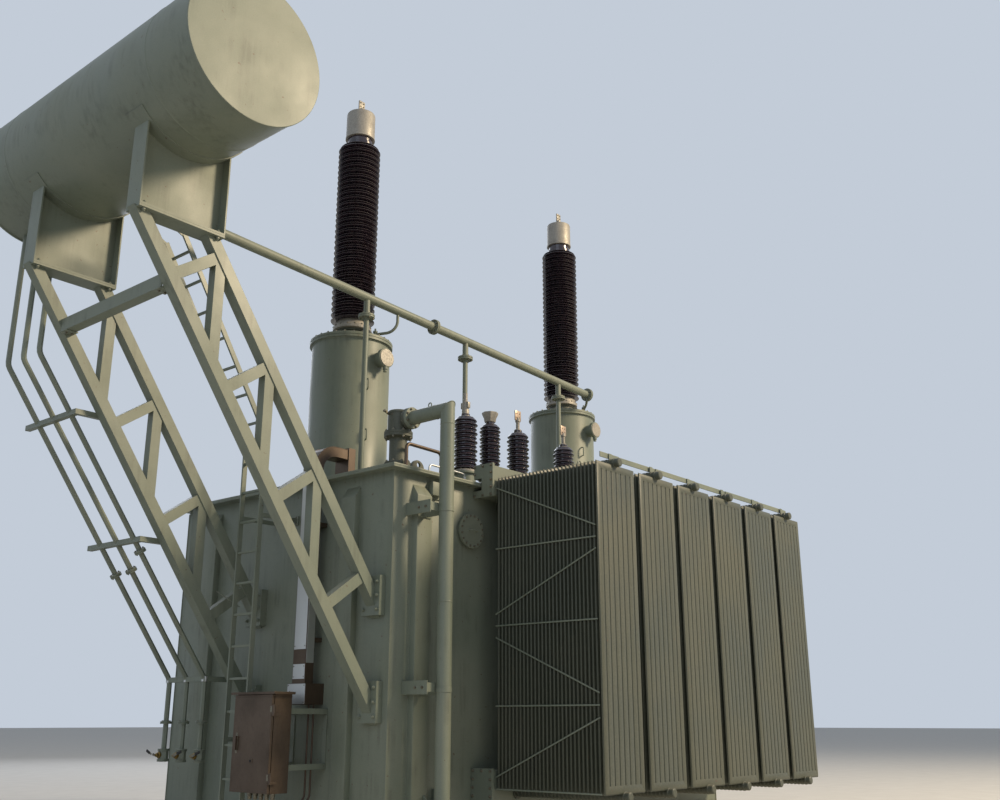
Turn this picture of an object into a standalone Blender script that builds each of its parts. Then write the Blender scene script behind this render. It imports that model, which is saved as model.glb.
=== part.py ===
# Outdoor power transformer of a railway substation, built as separate sub-parts.
# Metres, +Z up. The origin is on the ground under the middle of the tank.
# The oil conservator stands out at -X, and the near radiator bank is at -Y.

import math

import bpy
import bmesh
from mathutils import Matrix, Vector

# Fits
GAP = 0.0003                  # clearance between pieces that touch
MOVING_CLEARANCE = 0.006      # clearance round the cabinet door

# Base frame
SKID_HEIGHT = 0.28
SKID_WIDTH = 0.22
SKID_PLATE = 0.024
SKID_SPACING = 2.10           # between the middles of the two skids
SKID_OVERRUN = 0.12           # how far the skids run past each end of the tank
CROSS_BEAM_WIDTH = 0.16
CROSS_BEAM_COUNT = 3

# Tank
TANK_LENGTH = 5.68
TANK_WIDTH = 3.30
TANK_HEIGHT = 3.265
TANK_FLANGE_OVERHANG = 0.10
TANK_FLANGE_THICKNESS = 0.045
TANK_FOOT_OVERHANG = 0.06
TANK_FOOT_THICKNESS = 0.035
COVER_THICKNESS = 0.055
RIB_WIDTH = 0.20
RIB_DEPTH = 0.07
RIB_CHAMFER = 0.12
RIB_CLEARANCE = 0.06          # between a short rib and the duct above or below it
END_RIB_OFFSET = 1.10         # from the middle of the tank, along Y
CORNER_RIB_INSET = 0.35       # middle of a side wall's outer rib, from the end wall
INNER_RIB_COUNT = 3

# Radiators
RADIATORS_PER_SIDE = 6
RADIATOR_START = -1.658       # X of the first radiator's edge
RADIATOR_WIDTH = 0.640
RADIATOR_PITCH = 0.726
RADIATOR_BOTTOM = 0.650
RADIATOR_DEPTH = 1.215        # over all of a radiator's panels
PANEL_COUNT = 12
PANEL_THICKNESS = 0.012
HEADER_SIZE = 0.085
HEADER_OVERLAP = 0.020        # depth of the header in the panel's edge
HEADER_STUB = 0.055           # header past the outer panel
RADIATOR_STANDOFF = 0.022     # from the duct to the inner panel

# Header ducts on the tank
DUCT_HEIGHT = 0.300
DUCT_RISE = 0.136             # of the upper duct's top, over the cover
DUCT_PAST_FLANGE = 0.128      # of the duct's outer face, past its clearance at the flange
DUCT_INNER = 0.012            # of its upper inner edge, out from the wall
HEADER_INSET = 0.105          # from a duct's far edge to the headers' middle
DUCT_OVERRUN = 0.05           # past the outer radiators
DUCT_END_PLATE = 0.020
DUCT_END_RIM = 0.020
DUCT_FLANGE_CLEARANCE = 0.012
VENT_PIPE_RADIUS = 0.022
VENT_PIPE_RISE = 0.085        # from the top headers' middle to the vent pipe's
VENT_PIPE_INSET = 0.075       # from the outer panel to the vent pipe

# High-voltage bushings
HV_SPACING = 3.98
TURRET_RADIUS = 0.440
TURRET_HEIGHT = 1.785
TURRET_FLANGE_RADIUS = 0.468
TURRET_FLANGE_THICKNESS = 0.030
TURRET_BOX_OFFSET = 0.03      # of the round terminal box, along X
TURRET_BOX_LEVEL = 1.510      # above the cover
TURRET_BOX_RADIUS = 0.110
TURRET_BOX_REACH = 0.570      # of its face, from the turret's axis
HV_FOOT_RADIUS = 0.185
HV_FOOT_HEIGHT = 0.145
HV_COLLAR_RADIUS = 0.220
HV_COLLAR_HEIGHT = 0.260      # of the foot and the collar together
HV_CORE_RADIUS = 0.160
HV_SHED_RADIUS = 0.250
HV_SHED_COUNT = 12
HV_PORCELAIN_HEIGHT = 2.250
HV_CAP_RADIUS = 0.177
HV_CAP_HEIGHT = 0.355
HV_NECK_HEIGHT = 0.120
HV_TERMINAL_RADIUS = 0.035
HV_TERMINAL_HEIGHT = 0.190

# Low-voltage bushings, along the near edge of the cover
LV_Y = -1.20
LV_X = (-1.36, -0.95, -0.46, 0.41)
LV_SHED_RADIUS = (0.130, 0.115, 0.125, 0.125)
LV_BASE_HEIGHT = 0.240
LV_PORCELAIN_HEIGHT = 0.580
LV_SHED_COUNT = 5
LV_CORE_SHARE = 0.62          # core radius over shed radius
LV_FOOT_SHARE = 1.15
LV_COLLAR_SHARE = 1.10
LV_FLANGE = 0.030
LV_CAP_HEIGHT = 0.080
LV_ROD_RADIUS = 0.022
LV_ROD_HEIGHT = 0.290

# Relief valve and its pipe
RELIEF_X = -2.50
RELIEF_Y = -1.34
RELIEF_FOOT_RADIUS = 0.140
RELIEF_NECK_RADIUS = 0.090
RELIEF_JOINT_RADIUS = 0.142
RELIEF_JOINT_LEVEL = 0.360
RELIEF_JOINT_THICKNESS = 0.045
RELIEF_BODY_RADIUS = 0.110
RELIEF_HEIGHT = 0.620
RELIEF_FLANGE_THICKNESS = 0.030
RELIEF_OUTLET_LEVEL = 0.520   # of the outlet's axis, above the cover
RELIEF_OUTLET_REACH = 0.175   # of the outlet's face, from the valve's axis
RELIEF_OUTLET_RADIUS = 0.108
RELIEF_PIPE_RADIUS = 0.069
RELIEF_PIPE_Y = -2.007
RELIEF_PIPE_END = 0.25
RELIEF_BEND_RADIUS = 0.080
CLAMP_LEVELS = (1.53, 3.15)
CLAMP_HEIGHT = 0.090
CLAMP_THICKNESS = 0.012
CLAMP_PLATE_WIDTH = 0.180

# Conservator
CONSERVATOR_X = -5.237
CONSERVATOR_RISE = 2.875      # of its axis, over the cover
CONSERVATOR_RADIUS = 0.642
CONSERVATOR_WALL = 0.008
CONSERVATOR_NEAR = -2.39
CONSERVATOR_LENGTH = 3.55
END_PLATE_THICKNESS = 0.020
END_PLATE_RIM = 0.014

# Conservator brackets: a saddle on a lattice bracket, twice
BRACKET_Y = (-1.465, 0.26)
SADDLE_DROP = 1.253           # of the foot plate, below the conservator's axis
SADDLE_LEFT = -5.645
SADDLE_RIGHT = -4.830
SADDLE_PLATE_THICKNESS = 0.020
SADDLE_DEPTH = 0.200
SADDLE_WEB = 0.014
CHORD_WIDTH = 0.105
CHORD_DEPTH = 0.110
LOWER_CHORD_X = -5.600        # of the lower chord's middle line, at the saddle's plate
UPPER_CHORD_X = -4.925
LOWER_FOOT_DROP = 2.285       # of the middle line at the tank's wall, below the cover
UPPER_FOOT_DROP = 1.350
WEB_BAR_WIDTH = 0.100
WEB_BAR_DEPTH = 0.090
FOOT_PLATE_RISE = 0.110       # of a foot plate's middle, over the chord's
FOOT_PLATE_HEIGHT = 0.360
FOOT_PLATE_WIDTH = 0.235
FOOT_PLATE_THICKNESS = 0.075
LATTICE_SHARES = (0.055, 0.335, 0.618, 0.905)
TIE_SHARE = 0.13              # place of the tie along the lower chord
TIE_WIDTH = 0.100
TIE_HEIGHT = 0.120
TIE_PLATE = 0.012

# Gas pipe from the cover to the conservator
GAS_PIPE_Y = -0.57
GAS_PIPE_RADIUS = 0.050
GAS_PIPE_END = 1.82
GAS_PIPE_RISE = 1.964         # of its far end, over the cover
GAS_PIPE_SLOPE = 0.038
GAS_DROP_X = (-2.29, -0.68)
GAS_DROP_RADIUS = 0.034
GAS_DROP_FLANGE_DEPTH = 0.245 # of a drop's flange, below the pipe's middle line
GAS_FLANGE_X = -1.23
GAS_FLANGE_RADIUS = 0.090
GAS_FLANGE_THICKNESS = 0.040

# Valve pipes below the conservator
VALVE_PIPE_Y = (0.45, 0.75, 1.05)
VALVE_PIPE_RADIUS = 0.025
VALVE_PIPE_X = -5.35
VALVE_PIPE_DROP = 1.976       # of the bend, below the conservator's axis
VALVE_PIPE_BEND = 0.12
VALVE_PIPE_FOOT_X = -3.30
VALVE_PIPE_FOOT_LEVEL = 1.66
VALVE_LEVEL = 0.97
VALVE_RADIUS = 0.050
VALVE_BELOW = 0.090            # of the valve's body, below and above its level
VALVE_ABOVE = 0.030
PIPE_ARM_REACH = 0.95         # of a pipe arm, past the far lattice bracket
PIPE_ARM_SIZE = 0.050
PIPE_ARM_SHARES = (0.18, 0.56)
WALL_ARM_LEVEL = 1.66

# Ladder
LADDER_X = -3.30
LADDER_Y = -0.11
LADDER_WIDTH = 0.330
LADDER_FOOT = 0.30
LADDER_BEND_RISE = 0.399      # over the cover
LADDER_TOP_X = -4.42
LADDER_TOP_DROP = 0.676       # below the conservator's axis
RAIL_WIDTH = 0.050
RAIL_THICKNESS = 0.020
RUNG_SIZE = 0.022
RUNG_PITCH = 0.300
LADDER_ARM_LEVELS = (1.10, 3.20)
LADDER_ARM_SIZE = 0.040

# Control cabinet with its door
CABINET_FRONT = -3.47
CABINET_BACK = -3.28
CABINET_RIGHT = -0.88
CABINET_WIDTH = 0.54
CABINET_BOTTOM = 0.66
CABINET_HEIGHT = 0.84
CABINET_WALL = 0.006
CABINET_LID_OVERHANG = 0.045
CABINET_LID_THICKNESS = 0.015
DOOR_THICKNESS = 0.022
HINGE_OFFSET = 0.018          # of the hinge axis, out from the cabinet's side
HINGE_PIN_RADIUS = 0.007
KNUCKLE_RADIUS = 0.013
KNUCKLE_HEIGHT = 0.070
HINGE_FIT = 0.0006            # round the pin and under the knuckle
HINGE_SHARES = (0.16, 0.84)
HANDLE_LENGTH = 0.120
HANDLE_SIZE = 0.022
BRACKET_ARM_SIZE = 0.050
BRACKET_PLATE = 0.012
BRACKET_LEVELS = (0.87, 1.35)
BRACKET_INSET = 0.040

# Cable trunk and junction boxes on the end wall
TRUNK_Y = -0.66
TRUNK_WIDTH = 0.180
TRUNK_DEPTH = 0.100
TRUNK_EDGE_CLEARANCE = 0.002
TRUNK_ARCH_INNER = 0.160
TRUNK_ARCH_LEVEL = 0.040      # of the arch's middle, above the cover
TRUNK_RUN = 0.200             # straight run from the arch's crown to its box
TRUNK_END_BOX_LENGTH = 0.090
TRUNK_END_BOX_RISE = 0.120    # over the inside of the trunk
TRUNK_ARM_LEVELS = (2.00, 3.10)
TRUNK_ARM_SIZE = 0.040
JUNCTION_BOX_SIZE = (0.22, 0.26, 0.19)
JUNCTION_BOX_LEVEL = 1.41

# Hand-hole on the near wall
HAND_HOLE_X = -1.80
HAND_HOLE_DROP = 0.167         # of its edge, below the upper duct's end plate
HAND_HOLE_RADIUS = 0.175
HAND_HOLE_DEPTH = 0.055
HAND_HOLE_COVER = 0.022

# Facets of round pieces
SIDES_LARGE = 32
SIDES_TURRET = 20
SIDES_SHED = 14
SIDES_SMALL = 12
SIDES_PIPE = 10
SIDES_THIN = 6

# Worked-out places
TANK_END = TANK_LENGTH / 2
TANK_SIDE = TANK_WIDTH / 2
TANK_BOTTOM = SKID_HEIGHT + GAP
TANK_TOP = TANK_BOTTOM + TANK_HEIGHT
COVER_BOTTOM = TANK_TOP + GAP
COVER_TOP = COVER_BOTTOM + COVER_THICKNESS
ON_COVER = COVER_TOP + GAP
FLANGE_EDGE = TANK_END + TANK_FLANGE_OVERHANG
TOP_DUCT_LOW = COVER_TOP + DUCT_RISE - DUCT_HEIGHT
TOP_HEADER_Z = COVER_TOP + DUCT_RISE - HEADER_INSET
RADIATOR_TOP = TOP_HEADER_Z - HEADER_SIZE / 2 + HEADER_OVERLAP
BOTTOM_HEADER_Z = RADIATOR_BOTTOM - HEADER_SIZE / 2 + HEADER_OVERLAP
RADIATOR_END = (RADIATOR_START + (RADIATORS_PER_SIDE - 1) * RADIATOR_PITCH
                + RADIATOR_WIDTH)
DUCT_START = RADIATOR_START - DUCT_OVERRUN
DUCT_END = RADIATOR_END + DUCT_OVERRUN
DUCT_OUTER = TANK_SIDE + TANK_FLANGE_OVERHANG + DUCT_FLANGE_CLEARANCE + DUCT_PAST_FLANGE
BOTTOM_DUCT_LOW = BOTTOM_HEADER_Z - HEADER_INSET
RADIATOR_INNER = DUCT_OUTER + GAP + RADIATOR_STANDOFF
RADIATOR_OUTER = RADIATOR_INNER + RADIATOR_DEPTH
TURRET_TOP = ON_COVER + TURRET_HEIGHT
HV_BASE = TURRET_TOP + GAP
HV_PORCELAIN_TOP = HV_BASE + HV_COLLAR_HEIGHT + HV_PORCELAIN_HEIGHT
GAS_PIPE_END_LEVEL = ON_COVER + GAS_PIPE_RISE
CONSERVATOR_Z = COVER_TOP + CONSERVATOR_RISE
CONSERVATOR_FAR = CONSERVATOR_NEAR + CONSERVATOR_LENGTH
SADDLE_PLATE_LEVEL = CONSERVATOR_Z - SADDLE_DROP
LOWER_CHORD_FOOT = COVER_TOP - LOWER_FOOT_DROP
UPPER_CHORD_FOOT = COVER_TOP - UPPER_FOOT_DROP
VALVE_PIPE_BEND_LEVEL = CONSERVATOR_Z - VALVE_PIPE_DROP
LADDER_BEND_LEVEL = COVER_TOP + LADDER_BEND_RISE
LADDER_TOP_LEVEL = CONSERVATOR_Z - LADDER_TOP_DROP
CABINET_LEFT = CABINET_RIGHT + CABINET_WIDTH
CABINET_TOP = CABINET_BOTTOM + CABINET_HEIGHT
HAND_HOLE_LEVEL = TOP_DUCT_LOW - DUCT_END_RIM - HAND_HOLE_DROP - HAND_HOLE_RADIUS
HINGE_X = CABINET_FRONT - MOVING_CLEARANCE - DOOR_THICKNESS / 2
HINGE_Y = CABINET_RIGHT - HINGE_OFFSET


# Scene and materials

def clear_scene():
    for old in list(bpy.data.objects):
        bpy.data.objects.remove(old, do_unlink=True)


def material(name, colour, roughness, metallic=0.0):
    made = bpy.data.materials.new(name)
    made.use_nodes = True
    shader = made.node_tree.nodes["Principled BSDF"]
    shader.inputs["Base Color"].default_value = (*colour, 1.0)
    shader.inputs["Roughness"].default_value = roughness
    shader.inputs["Metallic"].default_value = metallic
    made.diffuse_color = (*colour, 1.0)
    return made


def place(name, mesh, mat, location=(0.0, 0.0, 0.0), turn=0.0, parent=None):
    """Add a sub-part that carries a mesh and one material of its own."""
    if not mesh.materials:
        mesh.materials.append(mat)
    made = bpy.data.objects.new(name, mesh)
    made.location = location
    made.rotation_euler = (0.0, 0.0, turn)
    made.parent = parent
    bpy.context.scene.collection.objects.link(made)
    return made


# Closed meshes

def finish_mesh(bm, name="shape"):
    bmesh.ops.recalc_face_normals(bm, faces=bm.faces)
    mesh = bpy.data.meshes.new(name)
    bm.to_mesh(mesh)
    bm.free()
    return mesh


def box(low, high):
    """A box between two opposite corners."""
    bm = bmesh.new()
    bmesh.ops.create_cube(bm, size=1.0)
    size = [abs(b - a) for a, b in zip(low, high)]
    middle = [(a + b) / 2 for a, b in zip(low, high)]
    bmesh.ops.scale(bm, vec=size, verts=bm.verts)
    bmesh.ops.translate(bm, vec=middle, verts=bm.verts)
    return finish_mesh(bm)


def prism(outline, axis, start, end):
    """An outline extruded along X, Y or Z. It lists the other two coordinates."""
    bm = bmesh.new()
    place_at = {
        "X": lambda u, v: (start, u, v),
        "Y": lambda u, v: (u, start, v),
        "Z": lambda u, v: (u, v, start),
    }[axis]
    along = {"X": (1, 0, 0), "Y": (0, 1, 0), "Z": (0, 0, 1)}[axis]
    face = bm.faces.new([bm.verts.new(place_at(u, v)) for u, v in outline])
    grown = bmesh.ops.extrude_face_region(bm, geom=[face])
    moved = [g for g in grown["geom"] if isinstance(g, bmesh.types.BMVert)]
    bmesh.ops.translate(bm, vec=Vector(along) * (end - start), verts=moved)
    return finish_mesh(bm)


def turned(profile, sides, centre=(0.0, 0.0, 0.0), axis="Z"):
    """A profile of (radius, height) points turned about an axis through centre.

    It closes over the axis at both ends."""
    bm = bmesh.new()
    rings = []
    for radius, height in profile:
        ring = []
        for step in range(sides):
            angle = 2 * math.pi * (step + 0.5) / sides
            ring.append(bm.verts.new((radius * math.cos(angle),
                                      radius * math.sin(angle), height)))
        rings.append(ring)
    for lower, upper in zip(rings, rings[1:]):
        for step in range(sides):
            after = (step + 1) % sides
            bm.faces.new((lower[step], lower[after], upper[after], upper[step]))
    bm.faces.new(list(reversed(rings[0])))
    bm.faces.new(rings[-1])
    turn = {
        "X": Matrix.Rotation(math.pi / 2, 4, "Y"),
        "Y": Matrix.Rotation(-math.pi / 2, 4, "X"),
        "Z": Matrix.Identity(4),
    }[axis]
    bm.transform(Matrix.Translation(centre) @ turn)
    mesh = finish_mesh(bm)
    mesh.shade_smooth()
    mesh.set_sharp_from_angle(angle=math.radians(35))
    return mesh


def ring_tube(outer, inner, start, end, sides, centre, axis="Y"):
    """An open-ended tube with a wall, along an axis."""
    bm = bmesh.new()
    loops = []
    for radius, height in ((outer, start), (outer, end), (inner, end), (inner, start)):
        loop = []
        for step in range(sides):
            angle = 2 * math.pi * (step + 0.5) / sides
            loop.append(bm.verts.new((radius * math.cos(angle),
                                      radius * math.sin(angle), height)))
        loops.append(loop)
    for first, second in zip(loops, loops[1:] + loops[:1]):
        for step in range(sides):
            after = (step + 1) % sides
            bm.faces.new((first[step], first[after], second[after], second[step]))
    turn = {
        "X": Matrix.Rotation(math.pi / 2, 4, "Y"),
        "Y": Matrix.Rotation(-math.pi / 2, 4, "X"),
        "Z": Matrix.Identity(4),
    }[axis]
    bm.transform(Matrix.Translation(centre) @ turn)
    mesh = finish_mesh(bm)
    mesh.shade_smooth()
    mesh.set_sharp_from_angle(angle=math.radians(35))
    return mesh


def bar(start, end, width, depth, upright=(0.0, 1.0, 0.0)):
    """A straight rectangular bar. Its depth lies along upright."""
    start = Vector(start)
    end = Vector(end)
    run = (end - start).normalized()
    side = run.cross(Vector(upright)).normalized()
    deep = side.cross(run)
    bm = bmesh.new()
    bmesh.ops.create_cube(bm, size=1.0)
    frame = Matrix((side * width, deep * depth, end - start)).transposed().to_4x4()
    bm.transform(Matrix.Translation((start + end) / 2) @ frame)
    return finish_mesh(bm)


def pipe(points, radius, sides=SIDES_PIPE):
    """A round pipe with closed ends through a list of points."""
    bm = bmesh.new()
    points = [Vector(p) for p in points]
    runs = [(b - a).normalized() for a, b in zip(points, points[1:])]
    guide = Vector((0, 0, 1)) if abs(runs[0].z) < 0.9 else Vector((0, 1, 0))
    side = runs[0].cross(guide).normalized()
    rings = []
    for place_no, point in enumerate(points):
        before = runs[max(place_no - 1, 0)]
        after = runs[min(place_no, len(runs) - 1)]
        run = (before + after).normalized()
        side = (side - run * side.dot(run)).normalized()
        other = run.cross(side)
        stretch = 1.0 / max(run.dot(after), 0.2)
        bend = (after - before)
        ring = []
        for step in range(sides):
            angle = 2 * math.pi * (step + 0.5) / sides
            offset = side * math.cos(angle) + other * math.sin(angle)
            if bend.length > 1e-6:
                across = bend.normalized()
                offset += across * offset.dot(across) * (stretch - 1.0)
            ring.append(bm.verts.new(point + offset * radius))
        rings.append(ring)
    for lower, upper in zip(rings, rings[1:]):
        for step in range(sides):
            after_step = (step + 1) % sides
            bm.faces.new((lower[step], lower[after_step], upper[after_step], upper[step]))
    bm.faces.new(list(reversed(rings[0])))
    bm.faces.new(rings[-1])
    mesh = finish_mesh(bm)
    mesh.shade_smooth()
    mesh.set_sharp_from_angle(angle=math.radians(40))
    return mesh


def rounded_route(points, radius, steps=4):
    """The same route with each corner replaced by an arc."""
    points = [Vector(p) for p in points]
    route = [points[0]]
    for before, corner, after in zip(points, points[1:], points[2:]):
        arriving = (corner - before).normalized()
        leaving = (after - corner).normalized()
        turn = arriving.angle(leaving)
        cut_back = radius * math.tan(turn / 2)
        first = corner - arriving * cut_back
        centre_way = (leaving - arriving).normalized()
        centre = corner + centre_way * (radius / math.cos(turn / 2))
        axis = arriving.cross(leaving).normalized()
        for step in range(steps + 1):
            spin = Matrix.Rotation(turn * step / steps, 3, axis)
            route.append(centre + spin @ (first - centre))
    route.append(points[-1])
    return route


def combine(mesh, others, operation):
    """One closed mesh from a mesh and others, by Blender's exact Boolean."""
    helpers = bpy.data.collections.new("helpers")
    bpy.context.scene.collection.children.link(helpers)
    base = bpy.data.objects.new("base", mesh)
    bpy.context.scene.collection.objects.link(base)
    made = []
    for other in others:
        helper = bpy.data.objects.new("helper", other)
        helper.hide_render = True
        helper.display_type = "WIRE"
        helpers.objects.link(helper)
        made.append(helper)
    step = base.modifiers.new("combine", "BOOLEAN")
    step.operation = operation
    step.solver = "EXACT"
    step.operand_type = "COLLECTION"
    step.collection = helpers
    bpy.context.view_layer.update()
    graph = bpy.context.evaluated_depsgraph_get()
    result = bpy.data.meshes.new_from_object(base.evaluated_get(graph))
    for helper in made:
        bpy.data.objects.remove(helper, do_unlink=True)
    bpy.data.objects.remove(base, do_unlink=True)
    bpy.data.collections.remove(helpers)
    return result


def union(meshes):
    return combine(meshes[0], meshes[1:], "UNION")


def cut(mesh, cutters):
    return combine(mesh, cutters, "DIFFERENCE")


# Sub-parts

def base_frame():
    """Two I-section skids with cross beams between them."""
    half = SKID_WIDTH / 2
    web = SKID_PLATE / 2
    low = SKID_PLATE
    high = SKID_HEIGHT - SKID_PLATE
    section = [(-half, 0), (half, 0), (half, low), (web, low), (web, high), (half, high),
               (half, SKID_HEIGHT), (-half, SKID_HEIGHT), (-half, high), (-web, high),
               (-web, low), (-half, low)]
    reach = TANK_END + SKID_OVERRUN
    meshes = []
    for side in (-1, 1):
        middle = side * SKID_SPACING / 2
        outline = [(middle + y, z) for y, z in section]
        meshes.append(prism(outline, "X", -reach, reach))
    for number in range(CROSS_BEAM_COUNT):
        x = -TANK_END * 0.8 + number * TANK_END * 1.6 / (CROSS_BEAM_COUNT - 1)
        meshes.append(box((x - CROSS_BEAM_WIDTH / 2, -SKID_SPACING / 2, 0),
                          (x + CROSS_BEAM_WIDTH / 2, SKID_SPACING / 2, high)))
    return union(meshes)


def side_rib(x, side, low, high):
    """A box rib on a side wall, with a chamfered head."""
    wall = side * (TANK_SIDE - 0.01)
    face = side * (TANK_SIDE + RIB_DEPTH)
    outline = [(wall, low), (face, low), (face, high - RIB_CHAMFER), (wall, high)]
    return prism(outline, "X", x - RIB_WIDTH / 2, x + RIB_WIDTH / 2)


def end_rib(y, end):
    wall = end * (TANK_END - 0.01)
    face = end * (TANK_END + RIB_DEPTH)
    low = TANK_BOTTOM + TANK_FOOT_THICKNESS
    high = TANK_TOP - TANK_FLANGE_THICKNESS - RIB_CLEARANCE
    outline = [(wall, low), (face, low), (face, high - RIB_CHAMFER), (wall, high)]
    return prism(outline, "Y", y - RIB_WIDTH / 2, y + RIB_WIDTH / 2)


def tank_body():
    """The oil tank with its foot plate, top flange and box ribs."""
    meshes = [box((-TANK_END, -TANK_SIDE, TANK_BOTTOM), (TANK_END, TANK_SIDE, TANK_TOP))]
    over = TANK_FOOT_OVERHANG
    meshes.append(box((-TANK_END - over, -TANK_SIDE - over, TANK_BOTTOM),
                      (TANK_END + over, TANK_SIDE + over, TANK_BOTTOM + TANK_FOOT_THICKNESS)))
    over = TANK_FLANGE_OVERHANG
    meshes.append(box((-TANK_END - over, -TANK_SIDE - over, TANK_TOP - TANK_FLANGE_THICKNESS),
                      (TANK_END + over, TANK_SIDE + over, TANK_TOP)))
    full_low = TANK_BOTTOM + TANK_FOOT_THICKNESS
    full_high = TANK_TOP - TANK_FLANGE_THICKNESS - RIB_CLEARANCE
    short_low = BOTTOM_DUCT_LOW + DUCT_HEIGHT + RIB_CLEARANCE
    short_high = TOP_DUCT_LOW - RIB_CLEARANCE
    for side in (-1, 1):
        meshes.append(side_rib(-TANK_END + CORNER_RIB_INSET, side, full_low, full_high))
        for number in range(INNER_RIB_COUNT):
            x = DUCT_START + (number + 0.5) * (DUCT_END - DUCT_START) / INNER_RIB_COUNT
            meshes.append(side_rib(x, side, short_low, short_high))
    for end in (-1, 1):
        for y in (-END_RIB_OFFSET, END_RIB_OFFSET):
            meshes.append(end_rib(y, end))
    return union(meshes)


def tank_cover():
    over = TANK_FLANGE_OVERHANG
    return box((-TANK_END - over, -TANK_SIDE - over, COVER_BOTTOM),
               (TANK_END + over, TANK_SIDE + over, COVER_TOP))


def radiator():
    """A stack of panels on two headers. The origin is at the duct, at ground level."""
    gap = (RADIATOR_DEPTH - PANEL_THICKNESS) / (PANEL_COUNT - 1)
    half = RADIATOR_WIDTH / 2
    meshes = []
    for centre in (TOP_HEADER_Z, BOTTOM_HEADER_Z):
        reach = -(RADIATOR_OUTER - DUCT_OUTER + HEADER_STUB)
        meshes.append(box((-HEADER_SIZE / 2, reach, centre - HEADER_SIZE / 2),
                          (HEADER_SIZE / 2, -GAP, centre + HEADER_SIZE / 2)))
    for number in range(PANEL_COUNT):
        face = -(RADIATOR_INNER - DUCT_OUTER) - number * gap
        meshes.append(box((-half, face - PANEL_THICKNESS, RADIATOR_BOTTOM),
                          (half, face, RADIATOR_TOP)))
    return union(meshes)


def duct_section(low, rim, round_flange):
    """Outline of a duct, or of its end plate, which is larger by a rim."""
    wall = -TANK_SIDE - GAP
    outer = -DUCT_OUTER - rim
    bottom = low - rim
    high = low + DUCT_HEIGHT + rim
    if not round_flange:
        return [(wall, bottom), (wall, high), (outer, high), (outer, bottom)]
    beside = wall - TANK_FLANGE_OVERHANG - DUCT_FLANGE_CLEARANCE
    under = TANK_TOP - TANK_FLANGE_THICKNESS - DUCT_FLANGE_CLEARANCE
    over = COVER_TOP + DUCT_FLANGE_CLEARANCE
    inner = wall - DUCT_INNER
    return [(wall, bottom), (wall, under), (beside, under), (beside, over), (inner, over),
            (inner, high), (outer, high), (outer, bottom)]


def header_duct(low, round_flange):
    """An oil duct along the wall with its end plates. It is built for the near side."""
    body = prism(duct_section(low, 0.0, round_flange), "X", DUCT_START, DUCT_END)
    plate = duct_section(low, DUCT_END_RIM, round_flange)
    plates = []
    for x, grow in ((DUCT_START, -1), (DUCT_END, 1)):
        plates.append(prism(plate, "X", x - grow * DUCT_END_PLATE / 2,
                            x + grow * DUCT_END_PLATE))
    return union([body] + plates)


def vent_pipe():
    """A thin pipe along the outer ends of one bank's top headers."""
    y = -(RADIATOR_OUTER - VENT_PIPE_INSET)
    z = TOP_HEADER_Z + VENT_PIPE_RISE
    start = RADIATOR_START + RADIATOR_WIDTH / 4
    end = RADIATOR_END - RADIATOR_WIDTH / 4
    meshes = [pipe([(start, y, z), (end, y, z)], VENT_PIPE_RADIUS, 8)]
    for number in range(RADIATORS_PER_SIDE):
        x = RADIATOR_START + RADIATOR_WIDTH / 2 + number * RADIATOR_PITCH
        foot = TOP_HEADER_Z + HEADER_SIZE / 2 + GAP
        half = VENT_PIPE_RADIUS / 2
        meshes.append(box((x - half, y - half, foot), (x + half, y + half, z)))
    return union(meshes)


def hv_turret():
    """Turret with a foot flange, a lid and a round terminal box on its near side."""
    flange = TURRET_FLANGE_THICKNESS
    profile = [(TURRET_FLANGE_RADIUS, 0), (TURRET_FLANGE_RADIUS, flange),
               (TURRET_RADIUS, flange), (TURRET_RADIUS, TURRET_HEIGHT - flange),
               (TURRET_FLANGE_RADIUS, TURRET_HEIGHT - flange),
               (TURRET_FLANGE_RADIUS, TURRET_HEIGHT)]
    terminal_box = turned([(TURRET_BOX_RADIUS, -TURRET_BOX_REACH),
                           (TURRET_BOX_RADIUS, -TURRET_RADIUS / 2)],
                          SIDES_SMALL, (TURRET_BOX_OFFSET, 0, TURRET_BOX_LEVEL), "Y")
    return union([turned(profile, SIDES_TURRET), terminal_box])


def shed_profile(start, height, count, core, shed):
    """Sloping sheds, each with a flat underside."""
    pitch = height / count
    profile = [(core, start)]
    for number in range(count):
        low = start + number * pitch
        profile.append((shed, low + pitch * 0.25))
        profile.append((core, low + pitch * 0.95))
    profile[-1] = (core, start + height)
    return profile


def hv_bushing():
    """Collar and ribbed porcelain, above the turret."""
    profile = [(HV_FOOT_RADIUS, 0), (HV_FOOT_RADIUS, HV_FOOT_HEIGHT),
               (HV_COLLAR_RADIUS, HV_FOOT_HEIGHT), (HV_COLLAR_RADIUS, HV_COLLAR_HEIGHT)]
    profile += shed_profile(HV_COLLAR_HEIGHT, HV_PORCELAIN_HEIGHT, HV_SHED_COUNT,
                            HV_CORE_RADIUS, HV_SHED_RADIUS)
    return turned(profile, SIDES_SHED)


def hv_cap():
    """Oil head and terminal on top of the porcelain."""
    neck = HV_CORE_RADIUS
    top = HV_NECK_HEIGHT + HV_CAP_HEIGHT
    profile = [(neck, 0), (neck, HV_NECK_HEIGHT), (HV_CAP_RADIUS, HV_NECK_HEIGHT),
               (HV_CAP_RADIUS, top), (HV_TERMINAL_RADIUS, top),
               (HV_TERMINAL_RADIUS, top + HV_TERMINAL_HEIGHT)]
    return turned(profile, SIDES_SHED)


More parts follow.
